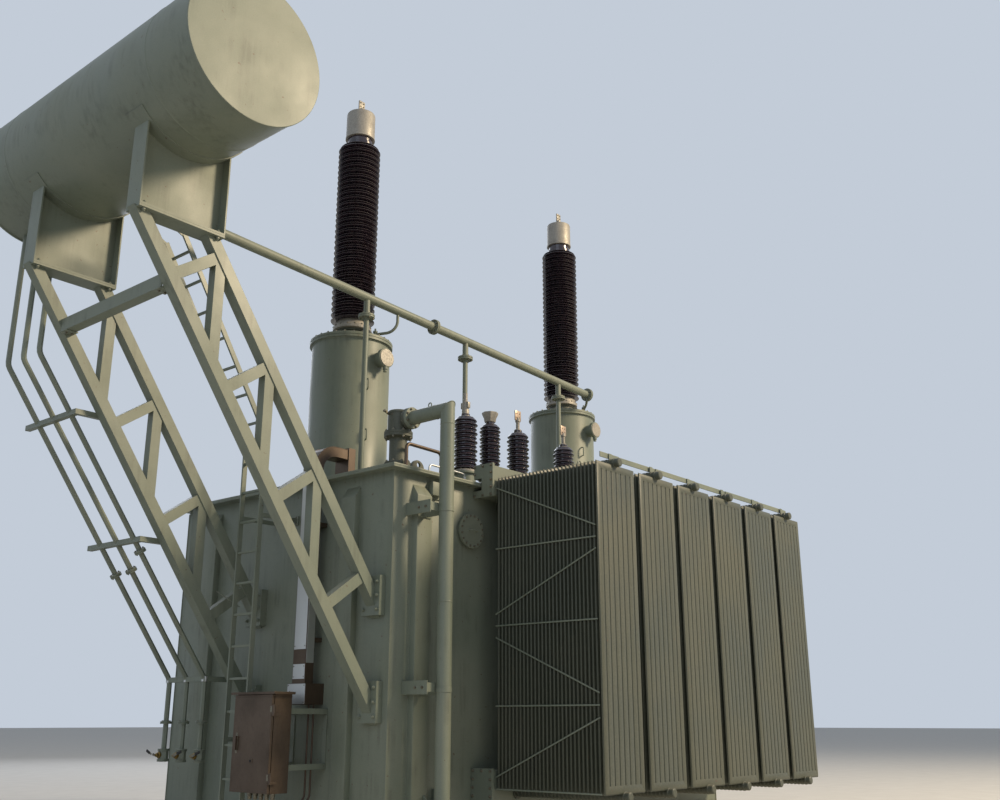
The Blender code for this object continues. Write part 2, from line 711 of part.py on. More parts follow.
def lv_bushing(shed):
    core = shed * LV_CORE_SHARE
    base = LV_BASE_HEIGHT
    top = base + LV_PORCELAIN_HEIGHT
    foot = shed * LV_FOOT_SHARE
    collar = shed * LV_COLLAR_SHARE
    profile = [(foot, 0), (foot, LV_FLANGE), (shed, LV_FLANGE), (shed, base - LV_FLANGE),
               (collar, base - LV_FLANGE), (collar, base)]
    profile += shed_profile(base, LV_PORCELAIN_HEIGHT, LV_SHED_COUNT, core, shed)
    profile += [(core, top + LV_CAP_HEIGHT),
                (LV_ROD_RADIUS, top + LV_CAP_HEIGHT), (LV_ROD_RADIUS, top + LV_ROD_HEIGHT)]
    return turned(profile, SIDES_PIPE)


def relief_valve():
    """Relief valve on the cover: a neck, a bolted joint and a body with a side outlet."""
    thick = RELIEF_FLANGE_THICKNESS
    joint = RELIEF_JOINT_LEVEL + RELIEF_JOINT_THICKNESS
    body = turned([(RELIEF_FOOT_RADIUS, 0), (RELIEF_FOOT_RADIUS, thick),
                   (RELIEF_NECK_RADIUS, thick), (RELIEF_NECK_RADIUS, RELIEF_JOINT_LEVEL),
                   (RELIEF_JOINT_RADIUS, RELIEF_JOINT_LEVEL), (RELIEF_JOINT_RADIUS, joint),
                   (RELIEF_BODY_RADIUS, joint), (RELIEF_BODY_RADIUS, RELIEF_HEIGHT)],
                  SIDES_SMALL)
    face = -RELIEF_OUTLET_REACH
    outlet = turned([(RELIEF_OUTLET_RADIUS, face), (RELIEF_OUTLET_RADIUS, face + thick),
                     (RELIEF_PIPE_RADIUS, face + thick), (RELIEF_PIPE_RADIUS, 0.0)],
                    SIDES_SMALL, (0, 0, RELIEF_OUTLET_LEVEL), "Y")
    return union([body, outlet])


def relief_pipe():
    """Elbow pipe with a flange, from the relief valve down the near wall, with two clamps."""
    start = RELIEF_Y - RELIEF_OUTLET_REACH - GAP
    level = ON_COVER + RELIEF_OUTLET_LEVEL
    route = rounded_route([(RELIEF_X, start, level), (RELIEF_X, RELIEF_PIPE_Y, level),
                           (RELIEF_X, RELIEF_PIPE_Y, RELIEF_PIPE_END)], RELIEF_BEND_RADIUS)
    flange = turned([(RELIEF_OUTLET_RADIUS, start - RELIEF_FLANGE_THICKNESS),
                     (RELIEF_OUTLET_RADIUS, start)], SIDES_SMALL, (RELIEF_X, 0, level), "Y")
    meshes = [pipe(route, RELIEF_PIPE_RADIUS, SIDES_SMALL), flange]
    face = -TANK_SIDE - RIB_DEPTH - GAP
    half = CLAMP_PLATE_WIDTH / 2
    for level in CLAMP_LEVELS:
        low = level - CLAMP_HEIGHT / 2
        high = level + CLAMP_HEIGHT / 2
        meshes.append(box((RELIEF_X - CLAMP_THICKNESS / 2, RELIEF_PIPE_Y, low),
                          (RELIEF_X + CLAMP_THICKNESS / 2, face, high)))
        meshes.append(box((RELIEF_X - half, face - CLAMP_THICKNESS, low),
                          (RELIEF_X + half, face, high)))
    return union(meshes)


def conservator_shell():
    return ring_tube(CONSERVATOR_RADIUS, CONSERVATOR_RADIUS - CONSERVATOR_WALL,
                     CONSERVATOR_NEAR, CONSERVATOR_FAR, SIDES_LARGE,
                     (CONSERVATOR_X, 0, CONSERVATOR_Z))


def conservator_end(outer_face, inner_face):
    radius = CONSERVATOR_RADIUS + END_PLATE_RIM
    return turned([(radius, min(outer_face, inner_face)), (radius, max(outer_face, inner_face))],
                  SIDES_LARGE, (CONSERVATOR_X, 0, CONSERVATOR_Z), "Y")


def conservator_cutter():
    """The conservator's outside with its clearance, to shape what meets it."""
    return turned([(CONSERVATOR_RADIUS + GAP, CONSERVATOR_NEAR),
                   (CONSERVATOR_RADIUS + GAP, CONSERVATOR_FAR)],
                  SIDES_LARGE, (CONSERVATOR_X, 0, CONSERVATOR_Z), "Y")


def saddle(middle):
    """Saddle of a foot plate, a web and two side plates, shaped to the conservator."""
    low = SADDLE_PLATE_LEVEL
    foot = low + SADDLE_PLATE_THICKNESS
    half = SADDLE_DEPTH / 2
    high = CONSERVATOR_Z
    web = box((SADDLE_LEFT, middle - SADDLE_WEB / 2, low),
              (SADDLE_RIGHT, middle + SADDLE_WEB / 2, high))
    plate = box((SADDLE_LEFT, middle - half, low), (SADDLE_RIGHT, middle + half, foot))
    sides = [box((SADDLE_LEFT, middle - half, low), (SADDLE_LEFT + SADDLE_WEB, middle + half, high)),
             box((SADDLE_RIGHT - SADDLE_WEB, middle - half, low),
                 (SADDLE_RIGHT, middle + half, high))]
    return cut(union([plate, web] + sides), [conservator_cutter()])


def chord_point(top_x, foot_level, share):
    """A point along a chord's middle line, from the saddle down to the tank."""
    top = Vector((top_x, 0, SADDLE_PLATE_LEVEL - GAP))
    foot = Vector((-TANK_END - GAP, 0, foot_level))
    return top + (foot - top) * share


def lower_chord_at(share):
    return chord_point(LOWER_CHORD_X, LOWER_CHORD_FOOT, share)


def upper_chord_at(share):
    return chord_point(UPPER_CHORD_X, UPPER_CHORD_FOOT, share)


def lower_chord_x(level):
    """Where the lower chord's middle line passes a level."""
    top = lower_chord_at(0.0)
    foot = lower_chord_at(1.0)
    return top.x + (foot.x - top.x) * (top.z - level) / (top.z - foot.z)


def chord(at, middle):
    """A box-section chord that runs past both of its ends, to be cut off there."""
    top = at(0.0)
    foot = at(1.0)
    run = (foot - top).normalized()
    across = Vector((run.z, 0, -run.x))
    half = CHORD_WIDTH / 2
    start = top - run * CHORD_WIDTH
    end = foot + run * CHORD_WIDTH
    outline = [(p.x, p.z) for p in (start - across * half, start + across * half,
                                    end + across * half, end - across * half)]
    return prism(outline, "Y", middle - CHORD_DEPTH / 2, middle + CHORD_DEPTH / 2)


def lattice_bracket(middle):
    """Lattice bracket that carries a saddle from the tank's end wall."""
    meshes = [chord(lower_chord_at, middle), chord(upper_chord_at, middle)]
    shift = Vector((0, middle, 0))
    origin = lower_chord_at(0.0)
    run = (lower_chord_at(1.0) - origin).normalized()
    for share in LATTICE_SHARES:
        upper = upper_chord_at(share)
        lower = origin + run * (upper - origin).dot(run)
        meshes.append(bar(lower + shift, upper + shift, WEB_BAR_WIDTH, WEB_BAR_DEPTH))
        if share != LATTICE_SHARES[-1]:
            below = origin + run * (upper.x - origin.x) / run.x
            meshes.append(bar(upper + shift, below + shift, WEB_BAR_WIDTH, WEB_BAR_DEPTH))
    wall = -TANK_END - GAP
    inside = wall + FOOT_PLATE_THICKNESS
    for foot in (LOWER_CHORD_FOOT, UPPER_CHORD_FOOT):
        level = foot + FOOT_PLATE_RISE
        meshes.append(box((wall - FOOT_PLATE_THICKNESS, middle - FOOT_PLATE_WIDTH / 2,
                           level - FOOT_PLATE_HEIGHT / 2),
                          (inside, middle + FOOT_PLATE_WIDTH / 2,
                           level + FOOT_PLATE_HEIGHT / 2)))
    top = SADDLE_PLATE_LEVEL - GAP
    meshes.append(box((SADDLE_LEFT, middle - SADDLE_DEPTH / 2, top - SADDLE_PLATE_THICKNESS),
                      (SADDLE_RIGHT, middle + SADDLE_DEPTH / 2, top + SADDLE_PLATE_THICKNESS)))
    beyond_wall = box((wall, middle - 1, 0), (wall + 1, middle + 1, SADDLE_PLATE_LEVEL))
    above_plate = box((SADDLE_LEFT - 1, middle - 1, top), (SADDLE_RIGHT + 1, middle + 1, top + 1))
    return cut(union(meshes), [beyond_wall, above_plate])


def bracket_tie():
    """Cross tie between the two lattice brackets."""
    at = lower_chord_at(TIE_SHARE)
    start = BRACKET_Y[0] + CHORD_DEPTH / 2 + GAP
    end = BRACKET_Y[1] - CHORD_DEPTH / 2 - GAP
    plate = TIE_PLATE
    x = at.x
    low = at.z - TIE_HEIGHT / 2
    high = at.z + TIE_HEIGHT / 2
    section = [(x - TIE_WIDTH / 2, low), (x + TIE_WIDTH / 2, low),
               (x + TIE_WIDTH / 2, low + plate), (x - TIE_WIDTH / 2 + plate, low + plate),
               (x - TIE_WIDTH / 2 + plate, high - plate), (x + TIE_WIDTH / 2, high - plate),
               (x + TIE_WIDTH / 2, high), (x - TIE_WIDTH / 2, high)]
    return prism(section, "Y", start, end)


def gas_pipe_level(x):
    return GAS_PIPE_END_LEVEL + (GAS_PIPE_END - x) * GAS_PIPE_SLOPE


def gas_pipe():
    """Sloping pipe with two flanged drops to the cover, shaped to the conservator."""
    start = CONSERVATOR_X + CONSERVATOR_RADIUS * 0.3
    meshes = [pipe([(start, GAS_PIPE_Y, gas_pipe_level(start)),
                    (GAS_PIPE_END, GAS_PIPE_Y, GAS_PIPE_END_LEVEL)], GAS_PIPE_RADIUS)]
    half = GAS_FLANGE_THICKNESS / 2
    for x in (GAS_FLANGE_X, GAS_PIPE_END):
        meshes.append(turned([(GAS_FLANGE_RADIUS, -half), (GAS_FLANGE_RADIUS, half)],
                             SIDES_SMALL, (x, GAS_PIPE_Y, gas_pipe_level(x)), "X"))
    flange = GAS_FLANGE_RADIUS
    thick = GAS_FLANGE_THICKNESS
    pipe_radius = GAS_DROP_RADIUS
    for x in GAS_DROP_X:
        top = gas_pipe_level(x) - ON_COVER
        joint = top - GAS_DROP_FLANGE_DEPTH
        profile = [(flange, 0), (flange, thick), (pipe_radius, thick), (pipe_radius, joint),
                   (flange, joint), (flange, joint + thick), (pipe_radius, joint + thick),
                   (pipe_radius, top)]
        meshes.append(turned(profile, SIDES_PIPE, (x, GAS_PIPE_Y, ON_COVER)))
    return cut(union(meshes), [conservator_cutter()])


def valve_pipes():
    """Three drain pipes below the conservator, with their arms and valves."""
    meshes = []
    for y in VALVE_PIPE_Y:
        route = rounded_route([(VALVE_PIPE_X, y, CONSERVATOR_Z - CONSERVATOR_RADIUS / 2),
                               (VALVE_PIPE_X, y, VALVE_PIPE_BEND_LEVEL),
                               (VALVE_PIPE_FOOT_X, y, VALVE_PIPE_FOOT_LEVEL),
                               (VALVE_PIPE_FOOT_X, y, VALVE_LEVEL)], VALVE_PIPE_BEND, 2)
        meshes.append(pipe(route, VALVE_PIPE_RADIUS, SIDES_THIN))
        meshes.append(turned([(VALVE_RADIUS, -VALVE_BELOW), (VALVE_RADIUS, VALVE_ABOVE)], SIDES_THIN,
                             (VALVE_PIPE_FOOT_X, y, VALVE_LEVEL)))
    inner = BRACKET_Y[1] + CHORD_DEPTH / 2 + GAP
    reach = inner + PIPE_ARM_REACH
    half = PIPE_ARM_SIZE / 2
    top = Vector((VALVE_PIPE_X, 0, VALVE_PIPE_BEND_LEVEL))
    foot = Vector((VALVE_PIPE_FOOT_X, 0, VALVE_PIPE_FOOT_LEVEL))
    for share in PIPE_ARM_SHARES:
        at = top + (foot - top) * share
        low = at.z - half
        high = at.z + half
        meshes.append(box((at.x - half, inner, low), (at.x + half, reach, high)))
        meshes.append(box((at.x, inner, low), (lower_chord_x(at.z), inner + PIPE_ARM_SIZE, high)))
    wall = -TANK_END - GAP
    meshes.append(box((VALVE_PIPE_FOOT_X - half, VALVE_PIPE_Y[0] - half, WALL_ARM_LEVEL - half),
                      (VALVE_PIPE_FOOT_X + half, VALVE_PIPE_Y[-1] + half, WALL_ARM_LEVEL + half)))
    meshes.append(box((VALVE_PIPE_FOOT_X, VALVE_PIPE_Y[0] - half, WALL_ARM_LEVEL - half),
                      (wall, VALVE_PIPE_Y[0] + half, WALL_ARM_LEVEL + half)))
    return cut(union(meshes), [conservator_cutter()])


def ladder():
    """Ladder that stands off the end wall and leans over to the conservator."""
    lean = Vector((LADDER_TOP_X - LADDER_X, LADDER_TOP_LEVEL - LADDER_BEND_LEVEL))
    along = lean.normalized()
    across = Vector((along.y, -along.x))
    half = RAIL_WIDTH / 2
    bend = half * (1 - along.y) / max(-along.x, 0.05)
    top = Vector((LADDER_TOP_X, LADDER_TOP_LEVEL))
    outline = [(LADDER_X - half, LADDER_FOOT), (LADDER_X + half, LADDER_FOOT),
               (LADDER_X + half, LADDER_BEND_LEVEL + bend), tuple(top + across * half),
               tuple(top - across * half), (LADDER_X - half, LADDER_BEND_LEVEL - bend)]
    meshes = []
    inner = LADDER_WIDTH / 2 - RAIL_THICKNESS
    for side in (-1, 1):
        near = LADDER_Y + side * inner
        meshes.append(prism(outline, "Y", near, near + side * RAIL_THICKNESS))
    rung = RUNG_SIZE / 2
    reach = inner + RAIL_THICKNESS / 2
    upright_count = int((LADDER_BEND_LEVEL - LADDER_FOOT) / RUNG_PITCH)
    lean_count = int(lean.length / RUNG_PITCH)
    middles = [(LADDER_X, LADDER_FOOT + RUNG_PITCH * (n + 0.5)) for n in range(upright_count)]
    for number in range(lean_count):
        at = Vector((LADDER_X, LADDER_BEND_LEVEL)) + along * RUNG_PITCH * (number + 0.5)
        middles.append((at.x, at.y))
    for x, z in middles:
        meshes.append(box((x - rung, LADDER_Y - reach, z - rung),
                          (x + rung, LADDER_Y + reach, z + rung)))
    wall = -TANK_END - GAP
    size = LADDER_ARM_SIZE / 2
    for level in LADDER_ARM_LEVELS:
        for side in (-1, 1):
            y = LADDER_Y + side * (inner + RAIL_THICKNESS / 2)
            meshes.append(box((LADDER_X, y - RAIL_THICKNESS / 2, level - size),
                              (wall, y + RAIL_THICKNESS / 2, level + size)))
    return union(meshes)


def cabinet_body():
    """Sheet cabinet, open at the front, with a lid and two hinge lugs with pins."""
    wall = CABINET_WALL
    shell = box((CABINET_FRONT, CABINET_RIGHT, CABINET_BOTTOM),
                (CABINET_BACK, CABINET_LEFT, CABINET_TOP))
    over = CABINET_LID_OVERHANG
    lid = box((CABINET_FRONT - over, CABINET_RIGHT - over, CABINET_TOP - 0.002),
              (CABINET_BACK, CABINET_LEFT + over, CABINET_TOP + CABINET_LID_THICKNESS))
    meshes = [shell, lid]
    for level in hinge_levels():
        lug_low = level - KNUCKLE_HEIGHT / 2 - 0.02
        lug_high = level - KNUCKLE_HEIGHT / 2 - HINGE_FIT
        meshes.append(box((HINGE_X - KNUCKLE_RADIUS, HINGE_Y - KNUCKLE_RADIUS, lug_low),
                          (CABINET_FRONT + 0.05, HINGE_Y + KNUCKLE_RADIUS, lug_high)))
        meshes.append(box((CABINET_FRONT + 0.01, HINGE_Y, lug_low),
                          (CABINET_FRONT + 0.05, CABINET_RIGHT + 0.003, lug_high)))
        meshes.append(turned([(HINGE_PIN_RADIUS, 0), (HINGE_PIN_RADIUS, KNUCKLE_HEIGHT + 0.02)], 8,
                             (HINGE_X, HINGE_Y, lug_low + 0.005)))
    inside = box((CABINET_FRONT - 0.01, CABINET_RIGHT + wall, CABINET_BOTTOM + wall),
                 (CABINET_BACK - wall, CABINET_LEFT - wall, CABINET_TOP - wall))
    return cut(union(meshes), [inside])


def hinge_levels():
    return [CABINET_BOTTOM + CABINET_HEIGHT * share for share in HINGE_SHARES]


def cabinet_door():
    """Door plate with two knuckles and a handle. The origin is on the hinge axis."""
    low = CABINET_BOTTOM + 0.004
    high = CABINET_TOP - MOVING_CLEARANCE - 0.004
    half = DOOR_THICKNESS / 2
    edge = CABINET_RIGHT + 0.002 - HINGE_Y
    free = CABINET_LEFT - HINGE_Y - 0.002
    meshes = [box((-half, edge, low), (half, free, high))]
    cutters = []
    for level in hinge_levels():
        bottom = level - KNUCKLE_HEIGHT / 2
        meshes.append(turned([(KNUCKLE_RADIUS, 0), (KNUCKLE_RADIUS, KNUCKLE_HEIGHT)], 12,
                             (0, 0, bottom)))
        meshes.append(box((-half, 0, bottom), (half * 0.3, edge + 0.01, bottom + KNUCKLE_HEIGHT)))
        cutters.append(turned([(HINGE_PIN_RADIUS + HINGE_FIT, -0.01),
                               (HINGE_PIN_RADIUS + HINGE_FIT, KNUCKLE_HEIGHT + 0.01)], 8,
                              (0, 0, bottom)))
    middle = (low + high) / 2
    grip = free - 0.06
    size = HANDLE_SIZE / 2
    meshes.append(box((-half - HANDLE_SIZE, grip - size, middle - HANDLE_LENGTH / 2),
                      (-half + 0.002, grip + size, middle + HANDLE_LENGTH / 2)))
    return cut(union(meshes), cutters)


def cabinet_bracket():
    """Welded arms between the tank's end wall and the cabinet's back."""
    wall = -TANK_END - GAP
    back = CABINET_BACK + GAP
    left = CABINET_LEFT - BRACKET_INSET
    right = CABINET_RIGHT + BRACKET_INSET
    size = BRACKET_ARM_SIZE / 2
    meshes = []
    for level in BRACKET_LEVELS:
        for y in (left, right):
            meshes.append(box((back, y - size, level - size), (wall, y + size, level + size)))
    for y in (left, right):
        meshes.append(box((wall - BRACKET_PLATE, y - size, BRACKET_LEVELS[0] - size),
                          (wall, y + size, BRACKET_LEVELS[1] + size)))
    meshes.append(box((wall - BRACKET_PLATE, right, BRACKET_LEVELS[1] - size),
                      (wall, left, BRACKET_LEVELS[1] + size)))
    return union(meshes)


def cable_trunk():
    """Sheet trunk up the end wall that arches over the flange into a box on the cover."""
    outer_face = -FLANGE_EDGE - TRUNK_EDGE_CLEARANCE - TRUNK_DEPTH
    inner_face = outer_face + TRUNK_DEPTH
    low = JUNCTION_BOX_LEVEL + JUNCTION_BOX_SIZE[2] + GAP
    outer_radius = TRUNK_ARCH_INNER + TRUNK_DEPTH
    centre_x = outer_face + outer_radius
    centre_z = COVER_TOP + TRUNK_ARCH_LEVEL
    steps = 6
    outline = [(inner_face, low), (outer_face, low)]
    for step in range(steps + 1):
        angle = math.pi - math.pi / 2 * step / steps
        outline.append((centre_x + outer_radius * math.cos(angle),
                        centre_z + outer_radius * math.sin(angle)))
    run_end = centre_x + TRUNK_RUN
    outline.append((run_end, centre_z + outer_radius))
    outline.append((run_end, centre_z + TRUNK_ARCH_INNER))
    for step in range(steps + 1):
        angle = math.pi / 2 + math.pi / 2 * step / steps
        outline.append((centre_x + TRUNK_ARCH_INNER * math.cos(angle),
                        centre_z + TRUNK_ARCH_INNER * math.sin(angle)))
    half = TRUNK_WIDTH / 2
    meshes = [prism(outline, "Y", TRUNK_Y - half, TRUNK_Y + half)]
    reach = TRUNK_END_BOX_LENGTH / 2
    wide = half + TRUNK_DEPTH / 10
    meshes.append(box((run_end - reach, TRUNK_Y - wide, ON_COVER),
                      (run_end + reach, TRUNK_Y + wide,
                       centre_z + TRUNK_ARCH_INNER + TRUNK_END_BOX_RISE)))
    size = TRUNK_ARM_SIZE / 2
    for level in TRUNK_ARM_LEVELS:
        meshes.append(box((inner_face - TRUNK_DEPTH / 2, TRUNK_Y - half + size, level - size),
                          (-TANK_END - GAP, TRUNK_Y + half - size, level + size)))
    return union(meshes)


def junction_box():
    depth, width, height = JUNCTION_BOX_SIZE
    wall = -TANK_END - GAP
    return box((wall - depth, TRUNK_Y - width / 2, JUNCTION_BOX_LEVEL),
               (wall, TRUNK_Y + width / 2, JUNCTION_BOX_LEVEL + height))


def hand_hole():
    """Round bolted cover on a short neck, on the near wall."""
    wall = -TANK_SIDE - GAP
    neck = HAND_HOLE_RADIUS * 0.85
    cover = wall - HAND_HOLE_DEPTH
    return turned([(HAND_HOLE_RADIUS, cover), (HAND_HOLE_RADIUS, cover + HAND_HOLE_COVER),
                   (neck, cover + HAND_HOLE_COVER), (neck, wall)],
                  20, (HAND_HOLE_X, 0, HAND_HOLE_LEVEL), "Y")


def mirrored(mesh):
    """A copy mirrored to the far side of the tank."""
    bm = bmesh.new()
    bm.from_mesh(mesh)
    bmesh.ops.scale(bm, vec=(1, -1, 1), verts=bm.verts)
    bmesh.ops.reverse_faces(bm, faces=bm.faces)
    return finish_mesh(bm)


def build():
    clear_scene()
    paint = material("grey_green_paint", (0.20, 0.22, 0.17), 0.45)
    porcelain = material("brown_porcelain", (0.045, 0.020, 0.014), 0.18)
    cast = material("light_grey_castings", (0.42, 0.43, 0.42), 0.5)
    steel = material("stainless_sheet", (0.45, 0.36, 0.28), 0.35, 0.9)
    galvanised = material("galvanised_steel", (0.35, 0.36, 0.36), 0.5, 0.8)
    root = bpy.data.objects.new("transformer_origin", None)
    bpy.context.scene.collection.objects.link(root)

    place("base_frame", base_frame(), paint, parent=root)
    place("tank_body", tank_body(), paint, parent=root)
    place("tank_cover", tank_cover(), paint, parent=root)

    stack = radiator()
    for number in range(RADIATORS_PER_SIDE):
        x = RADIATOR_START + RADIATOR_WIDTH / 2 + number * RADIATOR_PITCH
        place(f"radiator_near_{number + 1}", stack, paint, (x, -DUCT_OUTER, 0), parent=root)
        place(f"radiator_far_{number + 1}", stack, paint, (x, DUCT_OUTER, 0), math.pi, root)
    top_duct = header_duct(TOP_DUCT_LOW, True)
    bottom_duct = header_duct(BOTTOM_DUCT_LOW, False)
    vent = vent_pipe()
    place("duct_near_top", top_duct, paint, parent=root)
    place("duct_near_bottom", bottom_duct, paint, parent=root)
    place("vent_pipe_near", vent, paint, parent=root)
    place("duct_far_top", mirrored(top_duct), paint, parent=root)
    place("duct_far_bottom", mirrored(bottom_duct), paint, parent=root)
    place("vent_pipe_far", mirrored(vent), paint, parent=root)

    turret_mesh = hv_turret()
    bushing_mesh = hv_bushing()
    cap_mesh = hv_cap()
    for number, x in enumerate((-HV_SPACING / 2, HV_SPACING / 2)):
        place(f"hv_turret_{number + 1}", turret_mesh, paint, (x, 0, ON_COVER), parent=root)
        place(f"hv_bushing_{number + 1}", bushing_mesh, porcelain, (x, 0, HV_BASE), parent=root)
        place(f"hv_cap_{number + 1}", cap_mesh, cast, (x, 0, HV_PORCELAIN_TOP + GAP), parent=root)
    for number, (x, shed) in enumerate(zip(LV_X, LV_SHED_RADIUS)):
        place(f"lv_bushing_{number + 1}", lv_bushing(shed), porcelain, (x, LV_Y, ON_COVER),
              parent=root)

    place("relief_valve", relief_valve(), cast, (RELIEF_X, RELIEF_Y, ON_COVER), parent=root)
    place("relief_pipe", relief_pipe(), paint, parent=root)

    place("conservator_shell", conservator_shell(), paint, parent=root)
    place("conservator_end_near",
          conservator_end(CONSERVATOR_NEAR - GAP - END_PLATE_THICKNESS, CONSERVATOR_NEAR - GAP),
          paint, parent=root)
    place("conservator_end_far",
          conservator_end(CONSERVATOR_FAR + GAP, CONSERVATOR_FAR + GAP + END_PLATE_THICKNESS),
          paint, parent=root)
    for name, middle in zip(("near", "far"), BRACKET_Y):
        place(f"saddle_{name}", saddle(middle), paint, parent=root)
        place(f"lattice_bracket_{name}", lattice_bracket(middle), paint, parent=root)
    place("bracket_tie", bracket_tie(), paint, parent=root)

    place("gas_pipe", gas_pipe(), paint, parent=root)
    place("valve_pipes", valve_pipes(), paint, parent=root)
    place("ladder", ladder(), galvanised, parent=root)
    place("cabinet_body", cabinet_body(), steel, parent=root)
    place("cabinet_door", cabinet_door(), steel, (HINGE_X, HINGE_Y, 0), parent=root)
    place("cabinet_bracket", cabinet_bracket(), paint, parent=root)
    place("cable_trunk", cable_trunk(), steel, parent=root)
    place("junction_box", junction_box(), cast, parent=root)
    place("hand_hole", hand_hole(), paint, parent=root)


build()
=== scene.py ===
import math

import bmesh
import bpy
from mathutils import Matrix, Vector


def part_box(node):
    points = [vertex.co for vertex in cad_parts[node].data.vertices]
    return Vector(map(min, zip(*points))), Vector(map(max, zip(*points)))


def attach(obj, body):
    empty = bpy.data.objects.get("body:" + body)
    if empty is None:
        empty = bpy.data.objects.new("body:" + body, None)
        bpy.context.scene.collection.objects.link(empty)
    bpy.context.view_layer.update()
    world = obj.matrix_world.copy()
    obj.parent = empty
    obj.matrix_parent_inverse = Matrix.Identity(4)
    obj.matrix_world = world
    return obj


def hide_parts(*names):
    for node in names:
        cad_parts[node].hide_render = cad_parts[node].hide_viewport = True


bl_info = {
    "name": "Power transformer dressing",
    "version": (1, 0, 0),
    "blender": (4, 5, 0),
    "location": "View3D > Sidebar > Transformer",
    "description": "Dresses the solids of an outdoor power transformer with their visible detail",
    "category": "Object",
}

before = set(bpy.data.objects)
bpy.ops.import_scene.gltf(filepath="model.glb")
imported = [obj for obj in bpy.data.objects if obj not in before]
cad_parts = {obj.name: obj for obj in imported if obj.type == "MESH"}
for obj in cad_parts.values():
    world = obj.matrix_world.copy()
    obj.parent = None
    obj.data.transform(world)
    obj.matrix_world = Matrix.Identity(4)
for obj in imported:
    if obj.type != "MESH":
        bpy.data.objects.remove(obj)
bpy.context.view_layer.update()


def middle_of(name):
    """The middle of a solid's box."""
    low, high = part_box(name)
    return (low + high) / 2


# Places that the solids give
COVER_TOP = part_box("tank_cover")[1].z
TURRETS = [middle_of(f"hv_turret_{n}") for n in (1, 2)]

# The sides of the part, and which way along y each one faces
SIDES = {"near": -1, "far": 1}

# Half length and half width over the tank's walls
TANK_END = 2.840
TANK_SIDE = 1.650

# Directions, of which endward is towards the conservator
UP = Vector((0, 0, 1))
DOWN = -UP
NEARWARD = Vector((0, -1, 0))
ENDWARD = Vector((-1, 0, 0))

# Finishes
PAINT = "grey_green_enamel"
# Enamel of the radiators, base frame, relief valve and small low fittings: the tank's paint drawn
# darker, as painted shade
SHADED_PAINT = "radiator_enamel_painted_shade"
PORCELAIN = "brown_glazed_porcelain"
ALUMINIUM = "cast_aluminium"
STAINLESS = "brushed_stainless_sheet"
GALVANISED = "galvanised_steel"
ZINC = "zinc_plated_steel"
COPPER = "tinned_copper"
BRASS = "cast_brass"
RUBBER = "black_rubber"


# Selection

def choose_nothing():
    """Leave edit mode and deselect everything."""
    if bpy.context.object is not None and bpy.context.object.mode != "OBJECT":
        bpy.ops.object.mode_set(mode="OBJECT")
    bpy.ops.object.select_all(action="DESELECT")


def take(piece):
    """Select one piece alone and make it active."""
    choose_nothing()
    piece.select_set(True)
    bpy.context.view_layer.objects.active = piece


def newest(name):
    """The primitive that was just added, under its own name."""
    piece = bpy.context.object
    piece.name = name
    piece.data.name = name
    return piece


def edit(piece):
    """Open a piece in edit mode with all of it selected."""
    take(piece)
    bpy.ops.object.mode_set(mode="EDIT")
    bpy.ops.mesh.select_all(action="SELECT")


def close(gap=0.0):
    """Merge points nearer than a gap, turn all faces outward and leave edit mode."""
    bpy.ops.mesh.select_all(action="SELECT")
    if gap:
        bpy.ops.mesh.remove_doubles(threshold=gap)
    bpy.ops.mesh.normals_make_consistent(inside=False)
    bpy.ops.object.mode_set(mode="OBJECT")


def pick(piece, test):
    """Select the points of the piece in edit mode whose place passes a test."""
    shape = bmesh.from_edit_mesh(piece.data)
    bpy.ops.mesh.select_all(action="DESELECT")
    bpy.ops.mesh.select_mode(type="VERT")
    for point in shape.verts:
        if test(point.co):
            point.select_set(True)
    shape.select_flush_mode()
    bmesh.update_edit_mesh(piece.data)


def shift(piece, test, move):
    """Move the points of a piece whose place passes a test."""
    edit(piece)
    pick(piece, test)
    bpy.ops.transform.translate(value=move)
    bpy.ops.object.mode_set(mode="OBJECT")


# Modelling

WAYS = {"X": -ENDWARD, "Y": -NEARWARD, "Z": UP}
TURNS = {"X": (0, math.pi / 2, 0), "Y": (-math.pi / 2, 0, 0), "Z": (0, 0, 0)}


def turned(name, profile, centre=(0, 0, 0), axis="Z", sides=32):
    """A round piece: a disc extruded and resized from each (radius, height) to the next."""
    way = WAYS[axis]
    centre = Vector(centre)
    choose_nothing()
    bpy.ops.mesh.primitive_circle_add(vertices=sides, radius=profile[0][0], fill_type="NGON",
                                      location=centre + way * profile[0][1],
                                      rotation=TURNS[axis])
    piece = newest(name)
    bpy.ops.object.transform_apply(location=True, rotation=True, scale=True)
    edit(piece)
    for (radius, height), (next_radius, next_height) in zip(profile, profile[1:]):
        bpy.ops.mesh.extrude_region_move(
            TRANSFORM_OT_translate={"value": way * (next_height - height)})
        if abs(next_radius - radius) > 1e-6:
            bpy.ops.transform.resize(value=(next_radius / radius,) * 3,
                                     center_override=centre + way * next_height)
    close()
    return piece


def soften(piece, width, segments, angle=40):
    """Round the sharp edges of a piece with an applied bevel."""
    take(piece)
    bevel = piece.modifiers.new("edges", "BEVEL")
    bevel.width = width
    bevel.segments = segments
    bevel.limit_method = "ANGLE"
    bevel.angle_limit = math.radians(angle)
    bpy.ops.object.modifier_apply(modifier=bevel.name)
    return piece


def cuboid(name, middle, size, turn=(0, 0, 0)):
    """A sharp-edged rectangular piece about its middle."""
    choose_nothing()
    bpy.ops.mesh.primitive_cube_add(size=1.0, location=middle, rotation=turn, scale=size)
    piece = newest(name)
    bpy.ops.object.transform_apply(location=True, rotation=True, scale=True)
    return piece


